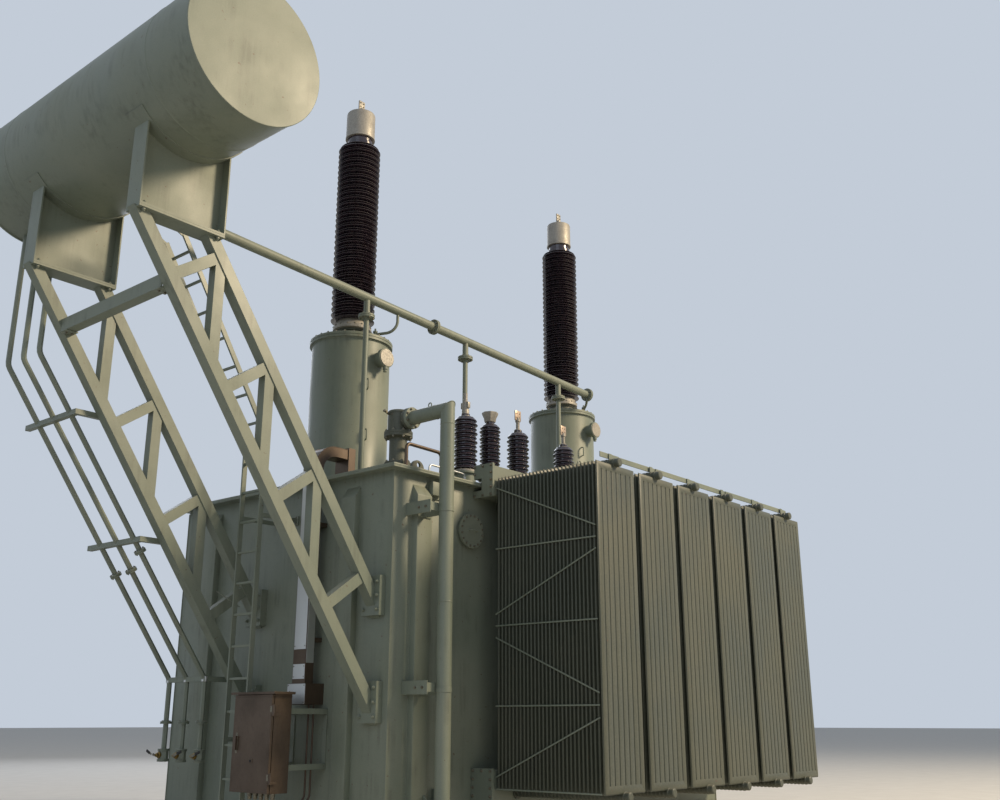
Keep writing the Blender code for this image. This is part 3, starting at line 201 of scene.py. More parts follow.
def block(name, corner, opposite, bevel=0.004, segments=2):
    """A rectangular piece between two opposite corners, with softened edges or sharp ones."""
    corner = Vector(corner)
    opposite = Vector(opposite)
    size = [abs(reach) for reach in opposite - corner]
    piece = cuboid(name, (corner + opposite) / 2, size)
    return soften(piece, bevel, segments) if bevel else piece


def strut(name, start, end, width, thickness, flat=(1, 0, 0), bevel=0.0015):
    """A flat bar between two points. Its thickness lies along flat."""
    start = Vector(start)
    end = Vector(end)
    run = (end - start).normalized()
    thin = (Vector(flat) - run * run.dot(Vector(flat))).normalized()
    turn = Matrix((run.cross(thin), thin, run)).transposed()
    bar = cuboid(name, (start + end) / 2, (width, thickness, (end - start).length),
                 turn.to_euler())
    return soften(bar, bevel, 1)


def rounded_route(points, radius, steps):
    """The same route with each corner replaced by an arc."""
    points = [Vector(p) for p in points]
    route = [points[0]]
    for before, corner, after in zip(points, points[1:], points[2:]):
        arriving = (corner - before).normalized()
        leaving = (after - corner).normalized()
        turn = arriving.angle(leaving)
        first = corner - arriving * radius * math.tan(turn / 2)
        centre = corner + (leaving - arriving).normalized() * (radius / math.cos(turn / 2))
        axis = arriving.cross(leaving).normalized()
        for step in range(steps + 1):
            route.append(centre + Matrix.Rotation(turn * step / steps, 3, axis) @ (first - centre))
    route.append(points[-1])
    return route


def loop(centre, across, up, count):
    """Points of an ellipse about a centre, from its two half axes."""
    angles = [math.tau * n / count for n in range(count)]
    return [Vector(centre) + Vector(across) * math.cos(a) + Vector(up) * math.sin(a)
            for a in angles]


def pipe(name, points, radius, round_steps=4, closed=False):
    """A pipe along a route: a path with a round bevel, made a mesh."""
    choose_nothing()
    bpy.ops.curve.primitive_nurbs_path_add(location=(0, 0, 0))
    path = newest(name).data
    path.splines.clear()
    line = path.splines.new("POLY")
    line.points.add(len(points) - 1)
    for point, place in zip(line.points, points):
        point.co = (*place, 1.0)
    line.use_cyclic_u = closed
    path.bevel_depth = radius
    path.bevel_resolution = round_steps
    path.use_fill_caps = not closed
    bpy.ops.object.convert(target="MESH")
    piece = bpy.context.object
    edit(piece)
    close(gap=0.00002)
    return piece


def handle(foot, other_foot, out, bend=0.015, radius=0.007):
    """A round bar that stands off a surface by out, between two feet on it."""
    foot = Vector(foot)
    other_foot = Vector(other_foot)
    out = Vector(out)
    route = rounded_route([foot, foot + out, other_foot + out, other_foot], bend, 4)
    return pipe("handle", route, radius, 2)


def cut_away(piece, cutter):
    """Cut one shape out of another."""
    take(piece)
    cut = piece.modifiers.new("cut", "BOOLEAN")
    cut.operation = "DIFFERENCE"
    cut.solver = "EXACT"
    cut.object = cutter
    bpy.ops.object.modifier_apply(modifier=cut.name)
    bpy.data.objects.remove(cutter, do_unlink=True)


def cut_flat(piece, place, out):
    """Cut a piece flat through a place and drop the side that lies out."""
    edit(piece)
    bpy.ops.mesh.bisect(plane_co=place, plane_no=out, use_fill=True, clear_outer=True)
    bpy.ops.object.mode_set(mode="OBJECT")


def joined(name, pieces):
    """Several modelled shapes as one piece."""
    choose_nothing()
    for piece in pieces:
        piece.select_set(True)
    bpy.context.view_layer.objects.active = pieces[0]
    if len(pieces) > 1:
        bpy.ops.object.join()
    return newest(name)


def repeated(name, model, places, keep_model=False):
    """Copies of a modelled shape, one for each matrix, joined into one piece."""
    copies = []
    for place in places:
        twin = model.copy()
        twin.data = model.data.copy()
        twin.data.transform(place)
        bpy.context.scene.collection.objects.link(twin)
        copies.append(twin)
    if not keep_model:
        bpy.data.objects.remove(model, do_unlink=True)
    return joined(name, copies)


def facing(place, way):
    """A matrix that puts a model at a place, with its +Z along a direction."""
    turn = UP.rotation_difference(Vector(way)).to_matrix().to_4x4()
    return Matrix.Translation(place) @ turn


def ring_places(centre, radius, count, way=UP):
    """Places of a bolt circle about an axis, each facing along that axis."""
    way = Vector(way).normalized()
    side = way.orthogonal().normalized()
    places = []
    for number in range(count):
        spin = Matrix.Rotation(math.tau * (number + 0.5) / count, 3, way)
        places.append(facing(Vector(centre) + spin @ side * radius, way))
    return places


def finish(name, shapes, material=PAINT, body="transformer", stands_for=(), angle=35):
    """Join modelled shapes into a piece with its shading, material and body."""
    piece = joined(name, shapes)
    take(piece)
    bpy.ops.object.transform_apply(location=True, rotation=True, scale=True)
    bpy.ops.object.shade_smooth_by_angle(angle=math.radians(angle))
    piece.data.materials.clear()
    piece.data.materials.append(bpy.data.materials[material])
    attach(piece, body)
    if stands_for:
        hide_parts(*stands_for)


def bolts(name, size, places, material=ZINC):
    """Bolt ends of one size at many places, each a washer, a hexagon nut and a thread."""
    washer = ((1.05, 0), (1.05, 0.16))
    nut = ((0.92, 0.16), (0.92, 0.80), (0.78, 0.92))
    thread = ((0.5, 0.9), (0.5, 1.30), (0.4, 1.38))
    shapes = []
    for profile, sides in ((washer, 12), (nut, 6), (thread, 8)):
        scaled = [(size * radius, size * height) for radius, height in profile]
        shapes.append(turned("bolt", scaled, sides=sides))
    finish(name, [repeated("bolts", joined("bolt", shapes), places)], material)


# Materials

def srgb(hex_colour):
    """A hex colour as linear red, green, blue and alpha."""
    parts = [int(hex_colour[i:i + 2], 16) / 255 for i in (1, 3, 5)]
    linear = [c / 12.92 if c <= 0.04045 else ((c + 0.055) / 1.055) ** 2.4 for c in parts]
    return (*linear, 1.0)


def add_node(tree, kind, inputs=None, **settings):
    """One node with its settings, and its inputs as values or links."""
    made = tree.nodes.new(kind)
    for key, value in settings.items():
        setattr(made, key, value)
    for key, value in (inputs or {}).items():
        if isinstance(value, bpy.types.NodeSocket):
            tree.links.new(value, made.inputs[key])
        else:
            made.inputs[key].default_value = value
    return made


def start_material(name):
    """An empty material with its shader, its output and the object's coordinates."""
    made = bpy.data.materials.new(name)
    made.use_nodes = True
    tree = made.node_tree
    tree.nodes.clear()
    shader = add_node(tree, "ShaderNodeBsdfPrincipled")
    add_node(tree, "ShaderNodeOutputMaterial", {"Surface": shader.outputs["BSDF"]})
    place = add_node(tree, "ShaderNodeTexCoord").outputs["Object"]
    return tree, shader, place


def ranged(tree, value, **limits):
    """A value mapped from one range to another."""
    inputs = {key.replace("_", " ").title(): limit for key, limit in limits.items()}
    return add_node(tree, "ShaderNodeMapRange", {"Value": value, **inputs}).outputs["Result"]


def speckle(tree, place, size_mm, low, high, detail=4.0, stretch=(1, 1, 1)):
    """A noise of a real size in millimetres, as a mask from 0 at low to 1 at high."""
    at = add_node(tree, "ShaderNodeMapping", {"Vector": place, "Scale": stretch})
    noise = add_node(tree, "ShaderNodeTexNoise", {"Vector": at.outputs["Vector"],
                                                  "Scale": 1000.0 / size_mm, "Detail": detail})
    return ranged(tree, noise.outputs["Fac"], from_min=low, from_max=high)


def times(tree, first, second):
    """The product of a mask and another mask or number."""
    return add_node(tree, "ShaderNodeMath", {0: first, 1: second},
                    operation="MULTIPLY").outputs[0]


def mixed(tree, mask, first, second, amount=1.0):
    """Two colours mixed by a mask, which may be weakened."""
    if amount < 1.0:
        mask = times(tree, mask, amount)
    mix = add_node(tree, "ShaderNodeMix", data_type="RGBA")
    tree.links.new(mask, mix.inputs["Factor"])
    for index, value in ((6, first), (7, second)):
        if isinstance(value, bpy.types.NodeSocket):
            tree.links.new(value, mix.inputs[index])
        else:
            mix.inputs[index].default_value = srgb(value)
    return mix.outputs[2]


def surface(tree, shader, colour, mask, smooth, rough):
    """A shader's colour, and its roughness as a mask goes from 0 to 1."""
    tree.links.new(colour, shader.inputs["Base Color"])
    tree.links.new(ranged(tree, mask, to_min=smooth, to_max=rough), shader.inputs["Roughness"])


def bumped(tree, shader, height, strength, distance, edge=0.0):
    """A height pattern on the shader's surface, and edges rounded by a radius, in metres."""
    inputs = {"Height": height, "Strength": strength, "Distance": distance}
    if edge:
        rounded = add_node(tree, "ShaderNodeBevel", {"Radius": edge}, samples=4)
        inputs["Normal"] = rounded.outputs["Normal"]
    bump = add_node(tree, "ShaderNodeBump", inputs)
    tree.links.new(bump.outputs["Normal"], shader.inputs["Normal"])


def paint_material(name, base, faded, shade):
    """Sprayed alkyd enamel on steel plate: a soft sheen, faded in patches and streaked by rain.

    The eye gets large pale patches, dirt that runs down the walls, dust on what faces up,
    and the slight waves of hand-sprayed plate."""
    rust = "#5b4232"
    settled_dust = "#9a9382"
    pale_grain = "#a9a998"
    tree, shader, place = start_material(name)
    patches = speckle(tree, place, 900, 0.38, 0.66)
    streaks = speckle(tree, place, 45, 0.44, 0.70, stretch=(1, 1, 0.05))
    grime = speckle(tree, place, 260, 0.44, 0.68)
    fine = speckle(tree, place, 9, 0.35, 0.70, 2.0)
    chips = speckle(tree, place, 38, 0.715, 0.735, 3.0)
    colour = mixed(tree, patches, base, faded, 0.55)
    colour = mixed(tree, times(tree, streaks, grime), colour, shade, 0.48)
    colour = mixed(tree, chips, colour, rust, 0.75)
    normal = add_node(tree, "ShaderNodeNewGeometry").outputs["Normal"]
    up = add_node(tree, "ShaderNodeSeparateXYZ", {"Vector": normal}).outputs["Z"]
    dust = times(tree, ranged(tree, up, from_min=0.55, from_max=0.95),
                 speckle(tree, place, 120, 0.30, 0.60))
    colour = mixed(tree, dust, colour, settled_dust, 0.45)
    colour = mixed(tree, fine, colour, pale_grain, 0.10)
    surface(tree, shader, colour, patches, 0.40, 0.58)
    shader.inputs["IOR"].default_value = 1.5
    waves = speckle(tree, place, 180, 0.2, 0.8, 1.0)
    bumped(tree, shader, waves, 0.30, 0.004, 0.004)


def porcelain_material():
    """Brown glazed porcelain: fired clay under a thick wet glaze, darker where it pools."""
    tree, shader, place = start_material(PORCELAIN)
    pooled = speckle(tree, place, 70, 0.30, 0.70)
    dust = speckle(tree, place, 25, 0.48, 0.75)
    colour = mixed(tree, dust, mixed(tree, pooled, "#28232d", "#362a31"), "#5f5c66", 0.22)
    surface(tree, shader, colour, dust, 0.12, 0.34)
    shader.inputs["IOR"].default_value = 1.54
    shader.inputs["Coat Weight"].default_value = 0.35
    shader.inputs["Coat Roughness"].default_value = 0.06
    bumped(tree, shader, pooled, 0.15, 0.002)


def metal_material(name, base, second_tone, size_mm, rough, metallic):
    """Bare or coated metal, mottled between two tones at a real size."""
    dirt_colour = "#4c463c"
    tree, shader, place = start_material(name)
    mottle = speckle(tree, place, size_mm, 0.35, 0.65)
    dirt = speckle(tree, place, 150, 0.50, 0.75)
    colour = mixed(tree, dirt, mixed(tree, mottle, base, second_tone), dirt_colour, 0.35)
    surface(tree, shader, colour, mottle, rough - 0.08, rough + 0.10)
    shader.inputs["Metallic"].default_value = metallic
    bumped(tree, shader, mottle, 0.20, 0.0008, 0.002)


def sheet_material(name, base, second_tone):
    """Cold-rolled stainless sheet: a fine vertical brushing and hand marks over two browns.

    The browns are a painted reflection of the brown ground. The eye gets a soft, dark reflection
    that is drawn out along the brushing."""
    tree, shader, place = start_material(name)
    brushing = speckle(tree, place, 1.5, 0.30, 0.70, 2.0, (1, 1, 0.02))
    painted_reflection_patches = speckle(tree, place, 350, 0.35, 0.68)
    marks = speckle(tree, place, 40, 0.55, 0.78)
    # Patches between two browns, which are a painted reflection of the brown ground
    colour = mixed(tree, painted_reflection_patches, base, second_tone)
    colour = mixed(tree, brushing, colour, "#9b8f80", 0.10)
    colour = mixed(tree, marks, colour, "#3a2f28", 0.30)
    surface(tree, shader, colour, painted_reflection_patches, 0.34, 0.52)
    shader.inputs["Metallic"].default_value = 0.65
    bumped(tree, shader, brushing, 0.10, 0.0002, 0.002)


def rubber_material():
    """Moulded black rubber of gaskets and cable sheaths: matt, with a grey bloom."""
    tree, shader, place = start_material(RUBBER)
    bloom = speckle(tree, place, 30, 0.40, 0.75)
    tree.links.new(mixed(tree, bloom, "#1b1b1b", "#343330"), shader.inputs["Base Color"])
    shader.inputs["Roughness"].default_value = 0.75
    bumped(tree, shader, bloom, 0.2, 0.0006)


class DressingSizes(bpy.types.PropertyGroup):
    """Sizes of the dressing that a user would change."""
    panel_pitch: bpy.props.FloatProperty(
        name="Panel pitch", description="Distance between two radiator panels",
        default=0.045, min=0.03, max=0.10, subtype="DISTANCE", unit="LENGTH")
    panel_thickness: bpy.props.FloatProperty(
        name="Panel thickness", description="Thickness over the two sheets of a panel",
        default=0.021, min=0.016, max=0.03, subtype="DISTANCE", unit="LENGTH")
    flute_count: bpy.props.IntProperty(
        name="Flutes", description="Oil channels across one radiator panel",
        default=8, min=3, max=12)
    valley_radius: bpy.props.FloatProperty(
        name="Valley radius", description="Radius of the round valley between two channels",
        default=0.008, min=0.003, max=0.02, subtype="DISTANCE", unit="LENGTH")
    shed_pitch: bpy.props.FloatProperty(
        name="Shed pitch", description="Distance between two sheds of a high-voltage bushing",
        default=0.0352, min=0.03, max=0.12, subtype="DISTANCE", unit="LENGTH")
    flange_edge: bpy.props.FloatProperty(
        name="Flange edge", description="Thickness of the tank's top flange at its edge",
        default=0.016, min=0.01, max=0.045, subtype="DISTANCE", unit="LENGTH")
    cover_edge: bpy.props.FloatProperty(
        name="Cover edge", description="Thickness of the cover at its edge",
        default=0.022, min=0.01, max=0.055, subtype="DISTANCE", unit="LENGTH")


class DressingColours(bpy.types.PropertyGroup):
    """Colours of the finishes, as sRGB hex values."""
    paint: bpy.props.StringProperty(
        name="Paint", description="Grey-green enamel of the tank and its fittings",
        default="#717b6e")
    paint_faded: bpy.props.StringProperty(
        name="Faded paint", description="The same enamel where the sun has faded it",
        default="#858b7c")
    paint_grime: bpy.props.StringProperty(
        name="Grime", description="Dirt that rain has run down the walls",
        default="#474b42")
    # The radiator colours are the tank's paint drawn darker: painted shade on the radiators and low
    # fittings
    radiator_shaded_paint: bpy.props.StringProperty(
        name="Radiator paint", description="Darker enamel of the radiators and low fittings",
        default="#454b40")
    radiator_shaded_faded: bpy.props.StringProperty(
        name="Faded radiator paint", description="The darker enamel where it has faded",
        default="#535649")


class TRANSFORMER_OT_finishes(bpy.types.Operator):
    """Make the materials and give each solid its own"""
    bl_idname = "transformer.finishes"
    bl_label = "Finishes"

    def execute(self, context):
        colours = context.scene.dressing_colours
        paint_material(PAINT, colours.paint, colours.paint_faded, colours.paint_grime)
        # The same enamel drawn darker, as painted shade on the radiators and low fittings
        paint_material(SHADED_PAINT, colours.radiator_shaded_paint, colours.radiator_shaded_faded,
                       colours.paint_grime)
        porcelain_material()
        metal_material(ALUMINIUM, "#a8a49a", "#8f8b82", 12, 0.50, 0.25)
        # Stainless in two browns: a painted reflection of the brown ground
        sheet_material(STAINLESS, "#5d4f42", "#4b3f34")
        metal_material(GALVANISED, "#7f8284", "#8e9192", 14, 0.48, 0.45)
        metal_material(ZINC, "#8a8778", "#6c6658", 8, 0.42, 0.70)
        metal_material(COPPER, "#b8a898", "#a08b78", 20, 0.45, 0.35)
        metal_material(BRASS, "#9c8247", "#7d6435", 15, 0.38, 0.85)
        rubber_material()
        finishes = {
            PORCELAIN: ("hv_bushing", "lv_bushing"),
            ALUMINIUM: ("hv_cap",),
            STAINLESS: ("cabinet_body", "cabinet_door", "cable_trunk", "junction_box"),
            # Painted shade: the relief valve and base frame take the darker enamel
            SHADED_PAINT: ("relief_valve", "base_frame"),
        }
        for name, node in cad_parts.items():
            chosen = PAINT
            for material, starts in finishes.items():
                if name.startswith(starts):
                    chosen = material
            node.material_slots[0].material = bpy.data.materials[chosen]
        return {"FINISHED"}


def plain_panel(sizes, low, high, width):
    """A panel of which only the edges show: two sheets swollen with oil, and their seam."""
    margin = 0.006
    seam = 0.0015
    half = sizes.panel_thickness / 2
    swell = block("swell", (-width / 2 + margin, -half, low + margin),
                  (width / 2 - margin, half, high - margin), 0.007)
    lip = block("lip", (-width / 2, -seam, low), (width / 2, seam, high), 0.0005, 1)
    return swell, lip


def fluted_panel(sizes, low, high, width):
    """A panel with the round valleys between its channels, and a dimple at each end of them."""
    swell, lip = plain_panel(sizes, low, high, width)
    start = low + 0.070
    end = high - 0.070
    valley = sizes.valley_radius
    dimple = valley * 1.18
    profile = [(0.003, start), (dimple, start + 0.004), (dimple, start + 0.014),
               (valley, start + 0.024), (valley, end - 0.024), (dimple, end - 0.014),
               (dimple, end - 0.004), (0.003, end)]
    face = sizes.panel_thickness / 2 + valley * 0.12
    cutters = []
    for side in (-1, 1):
        for number in range(1, sizes.flute_count):
            x = -width / 2 + width * number / sizes.flute_count
            cutters.append(turned("valley", profile, (x, side * face, 0), "Z", 12))
    cut_away(swell, joined("valleys", cutters))
    return soften(swell, 0.0025, 2, 50), lip


class TRANSFORMER_OT_radiators(bpy.types.Operator):
    """Fluted radiators in place of the plain stacks, with headers and bracing"""
    bl_idname = "transformer.radiators"
    bl_label = "Radiators"

    def execute(self, context):
        model = self.radiator(context.scene.dressing_sizes)
        middles = [middle_of(f"radiator_near_{number}").x for number in range(1, 7)]
        for number, x in enumerate(middles, 1):
            near = Matrix.Translation((x, 0, 0))
            far = near @ Matrix.Rotation(math.pi, 4, "Z")
            for name, place in (("near", near), ("far", far)):
                panels = repeated("panels", model, [place], keep_model=True)
                finish(f"radiator_panels_{name}_{number}", [panels], SHADED_PAINT,
                       stands_for=(f"radiator_{name}_{number}",), angle=34)
        bpy.data.objects.remove(model, do_unlink=True)
        self.braces()
        self.tie_bars(middles)
        return {"FINISHED"}

    def radiator(self, sizes):
        """One near radiator about x = 0: its panels and the two headers that they hang on."""
        low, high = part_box("radiator_near_1")
        header = 0.0425
        overlap = 0.020
        bottom = low.z + 2 * header - overlap
        top = high.z - 2 * header + overlap
        stub = 0.055
        depth = 1.215
        width = high.x - low.x
        count = int(round((depth - 0.01) / sizes.panel_pitch)) + 1
        pitch = (depth - sizes.panel_thickness) / (count - 1)
        first = low.y + stub + sizes.panel_thickness / 2
        places = [Matrix.Translation((0, first + n * pitch, 0)) for n in range(count)]
        shown = joined("shown", fluted_panel(sizes, bottom, top, width))
        hidden = joined("hidden", plain_panel(sizes, bottom, top, width))
        parts = [repeated("shown", shown, [places[0], places[-1]]),
                 repeated("hidden", hidden, places[1:-1])]
        collar = header * 1.12
        flange = header * 1.6
        gasket = header * 1.5
        profile = [(header * 0.80, low.y), (header, low.y + 0.008)]
        for number in range(count):
            at = first + number * pitch
            profile += [(header, at - pitch * 0.30), (collar, at - pitch * 0.22),
                        (collar, at + pitch * 0.22), (header, at + pitch * 0.30)]
        profile += [(radius, high.y - back) for radius, back in (
            (header, 0.0150), (flange, 0.0148), (flange, 0.0085), (gasket, 0.0080),
            (gasket, 0.0070), (flange, 0.0065), (flange, 0))]
        for level in (high.z - header, low.z + header):
            parts.append(turned("header", profile, (0, 0, level), "Y", 16))
        return joined("radiator", parts)

    def tie_bars(self, middles):
        """Flat bars over the top headers that tie a bank together, and the lifting eyes."""
        eye_reach = 2.70
        lap = 0.06
        for name, side in SIDES.items():
            low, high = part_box(f"vent_pipe_{name}")
            y = (low.y + high.y) / 2
            level = (low.z + high.z) / 2
            joints = [low.x] + [x + 0.100 for x in middles[:-1]] + [high.x]
            bars = []
            posts = []
            spots = []
            for number, (start, end) in enumerate(zip(joints, joints[1:])):
                step = y + (0.005 if number % 2 else -0.005)
                bars.append(block("bar", (start, step - 0.004, level - 0.026),
                                  (end + lap, step + 0.004, level + 0.026), 0.0015, 1))
                if number:
                    spots.append(facing((start + lap / 2, y - 0.010, level), NEARWARD))
            bars[-1].data.transform(Matrix.Translation((-lap, 0, 0)))
            for x in middles:
                posts.append(block("post", (x - 0.025, y - 0.020, low.z - 0.012),
                                   (x + 0.025, y - 0.012, high.z - 0.006), 0.001, 1))
                eye = loop((x, side * eye_reach, low.z + 0.020), (0.024, 0, 0),
                           (0, 0, 0.024), 18)
                posts.append(pipe("eye", eye, 0.006, 2, True))
            finish(f"radiator_tie_bars_{name}", bars, stands_for=(f"vent_pipe_{name}",))
            finish(f"radiator_tie_posts_{name}", posts)
            bolts(f"radiator_tie_bolts_{name}", 0.010, spots)

    def braces(self):
        """Flat strips, welded across the panel edges at both ends of each bank."""
        inner = 1.895
        outer = 3.100
        ends = (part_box("radiator_near_1")[0].x - 0.003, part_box("radiator_near_6")[1].x + 0.003)
        # Heights at the inner and the outer edge, of the level and then the sloping strips
        heights = [(z, z) for z in (2.89, 2.145, 1.40, 0.66)]
        heights += [(3.507, 2.997), (2.254, 2.784), (2.036, 1.504), (0.762, 1.295)]
        for name, side in SIDES.items():
            strips = [strut("strip", (x, side * inner, z), (x, side * outer, end_z), 0.014, 0.006)
                      for x in ends for z, end_z in heights]
            finish(f"bank_braces_{name}", strips)


def porcelain_profile(height, count, core, wide, narrow):
    """Sheds that droop and end in a rounded lip, with a narrower one after each wide one."""
    pitch = height / count
    profile = [(core, 0)]
    for number in range(count):
        reach = narrow if number % 2 else wide
        shed = ((core, 0.12), (reach - 0.012, 0.22), (reach - 0.003, 0.26), (reach, 0.36),
                (reach - 0.003, 0.48), (core + 0.006, 0.86), (core, 0.94))
        profile += [(radius, pitch * (number + part)) for radius, part in shed]
    profile.append((core, height))
    return profile


class TRANSFORMER_OT_hv_bushings(bpy.types.Operator):
    """High-voltage turrets, porcelain bushings and their caps"""
    bl_idname = "transformer.hv_bushings"
    bl_label = "High-voltage bushings"

    def execute(self, context):
        for number, middle in enumerate(TURRETS, 1):
            self.turret(number, middle.x)
            self.bushing(number, middle.x, context.scene.dressing_sizes.shed_pitch)
            self.cap(number, middle.x)
        return {"FINISHED"}

    def turret(self, number, x):
        """A round steel turret with its flanges, terminal box and handles."""
        low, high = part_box(f"hv_turret_{number}")
        top = high.z - low.z
        radius = 0.440
        flange = 0.468
        foot = ((flange, 0), (flange, 0.028), (flange - 0.003, 0.031), (radius + 0.006, 0.031),
                (radius, 0.040))
        # Two flanges with a gasket line between them, measured down from the top
        head = ((radius, 0.068), (radius + 0.006, 0.060), (flange, 0.060), (flange, 0.034),
                (flange - 0.006, 0.033), (flange - 0.006, 0.030), (flange, 0.029),
                (flange, 0.003), (flange - 0.003, 0))
        body = turned("body", [*foot, *((out, top - down) for out, down in head)],
                      (x, 0, low.z), sides=64)
        lid_at = Vector((x + 0.03, low.y, 5.1109))
        terminal = turned("terminal", [(0.085, 0.02 - radius - low.y), (0.085, 0.055),
                                       (0.110, 0.050), (0.110, 0.012), (0.106, 0.008)],
                          lid_at, "Y")
        gland = turned("gland", [(0.020, 0), (0.020, 0.025), (0.028, 0.028), (0.028, 0.080)],
                       (lid_at.x, low.y + 0.030, 4.950), sides=12)
        shapes = [body, terminal, gland]
        away = Vector((-0.13, -0.42, 0)).normalized()
        for level in (4.22, 4.79):
            middle = Vector((x, 0, level)) + away * (radius - 0.005)
            shapes.append(handle(middle - UP * 0.06, middle + UP * 0.06, away * 0.055,
                                 0.02, 0.008))
        finish(f"turret_shell_{number}", shapes, stands_for=(f"hv_turret_{number}",))
        lid = turned("lid", [(0.094, 0.009), (0.098, 0.004), (0.098, 0)], lid_at, "Y")
        finish(f"terminal_lid_{number}", [lid], ALUMINIUM)
        bolts(f"turret_bolts_{number}", 0.014, ring_places((x, 0, high.z), flange - 0.022, 28))

    def bushing(self, number, x, shed_pitch):
        """A flanged foot, a cast collar and the porcelain with its sheds."""
        low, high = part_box(f"hv_bushing_{number}")
        at = (x, 0, low.z)
        foot = turned("foot", [(0.185, 0), (0.185, 0.020), (0.172, 0.024), (0.172, 0.120),
                               (0.185, 0.124), (0.185, 0.145)], at, sides=48)
        finish(f"bushing_foot_{number}", [foot], SHADED_PAINT)
        collar = turned("collar", [(0.212, 0.145), (0.220, 0.150), (0.220, 0.185),
                                   (0.205, 0.195), (0.192, 0.245), (0.180, 0.260)],
                        at, sides=48)
        finish(f"bushing_collar_{number}", [collar], ALUMINIUM)
        start = low.z + 0.260
        height = high.z - start
        pairs = int(round(height / (2 * shed_pitch)))
        pair = turned("pair", porcelain_profile(height / pairs, 2, 0.190, 0.250, 0.233),
                      (x, 0, 0), sides=48)
        places = [Matrix.Translation((0, 0, start + height * n / pairs)) for n in range(pairs)]
        finish(f"bushing_porcelain_{number}", [repeated("sheds", pair, places)], PORCELAIN,
               stands_for=(f"hv_bushing_{number}",))
        bolts(f"bushing_bolts_{number}", 0.013,
              ring_places((x, 0, low.z + 0.020), 0.178, 12)
              + ring_places((x, 0, low.z + 0.185), 0.212, 16))

    def cap(self, number, x):
        """The porcelain's neck, the round metal head and the terminal plate with its bolts."""
        low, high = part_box(f"hv_cap_{number}")
        at = (x, 0, low.z)
        half_wide = 0.045
        half_thick = 0.009
        foot = 0.560
        spread = 0.024
        neck = turned("neck", [(0.160, 0), (0.160, 0.050), (0.148, 0.060), (0.148, 0.120)],
                      at, sides=48)
        finish(f"cap_neck_{number}", [neck], PORCELAIN)
        head = turned("head", [(0.177, 0.120), (0.177, 0.140), (0.172, 0.144), (0.172, 0.448),
                               (0.166, 0.464), (0.150, 0.470), (0.060, 0.475)], at, sides=48)
        stem = turned("stem", [(0.050, 0.470), (0.050, 0.500), (0.033, 0.505), (0.033, foot)],
                      at, sides=24)
        plate = block("plate", (x - half_wide, -half_thick, low.z + foot - 0.015),
                      (x + half_wide, half_thick, high.z), 0.003)
        finish(f"cap_head_{number}", [head, stem, plate], ALUMINIUM,
               stands_for=(f"hv_cap_{number}",))
        middle = (low.z + foot + high.z) / 2
        spots = [facing((x + dx, -half_thick, middle + dz), NEARWARD)
                 for dx in (-spread, spread) for dz in (-spread, spread)]
        spots.append(facing((x + 0.10, -0.04, low.z + 0.470), UP))
        bolts(f"cap_bolts_{number}", 0.009, spots)


def lv_terminal(kind, x, y, top):
    """The stem on a low-voltage bushing: a clamp, a flared cap or a flag."""
    at = (x, y, top)
    if kind == "clamp":
        stem = turned("stem", [(0.050, -0.01), (0.050, 0.03), (0.041, 0.04), (0.041, 0.10),
                               (0.036, 0.11), (0.036, 0.19), (0.022, 0.20), (0.022, 0.29)],
                      at, sides=24)
        return [stem, block("jaws", (x - 0.020, y - 0.055, top + 0.115),
                            (x + 0.020, y + 0.055, top + 0.185), 0.006)]
    if kind == "flared":
        return [turned("stem", [(0.060, 0.045), (0.064, 0.055), (0.068, 0.085), (0.092, 0.140),
                                (0.092, 0.155), (0.070, 0.155), (0.060, 0.140), (0.030, 0.140),
                                (0.026, 0.165)], at, sides=8)]
    stem = turned("stem", [(0.058, -0.01), (0.058, 0.02), (0.040, 0.03), (0.040, 0.06),
                           (0.022, 0.07), (0.022, 0.15), (0.030, 0.155), (0.030, 0.18),
                           (0.022, 0.185), (0.022, 0.20)], at, sides=24)
    return [stem, block("flag", (x - 0.052, y - 0.007, top + 0.17),
                        (x + 0.052, y + 0.007, top + 0.29), 0.003)]


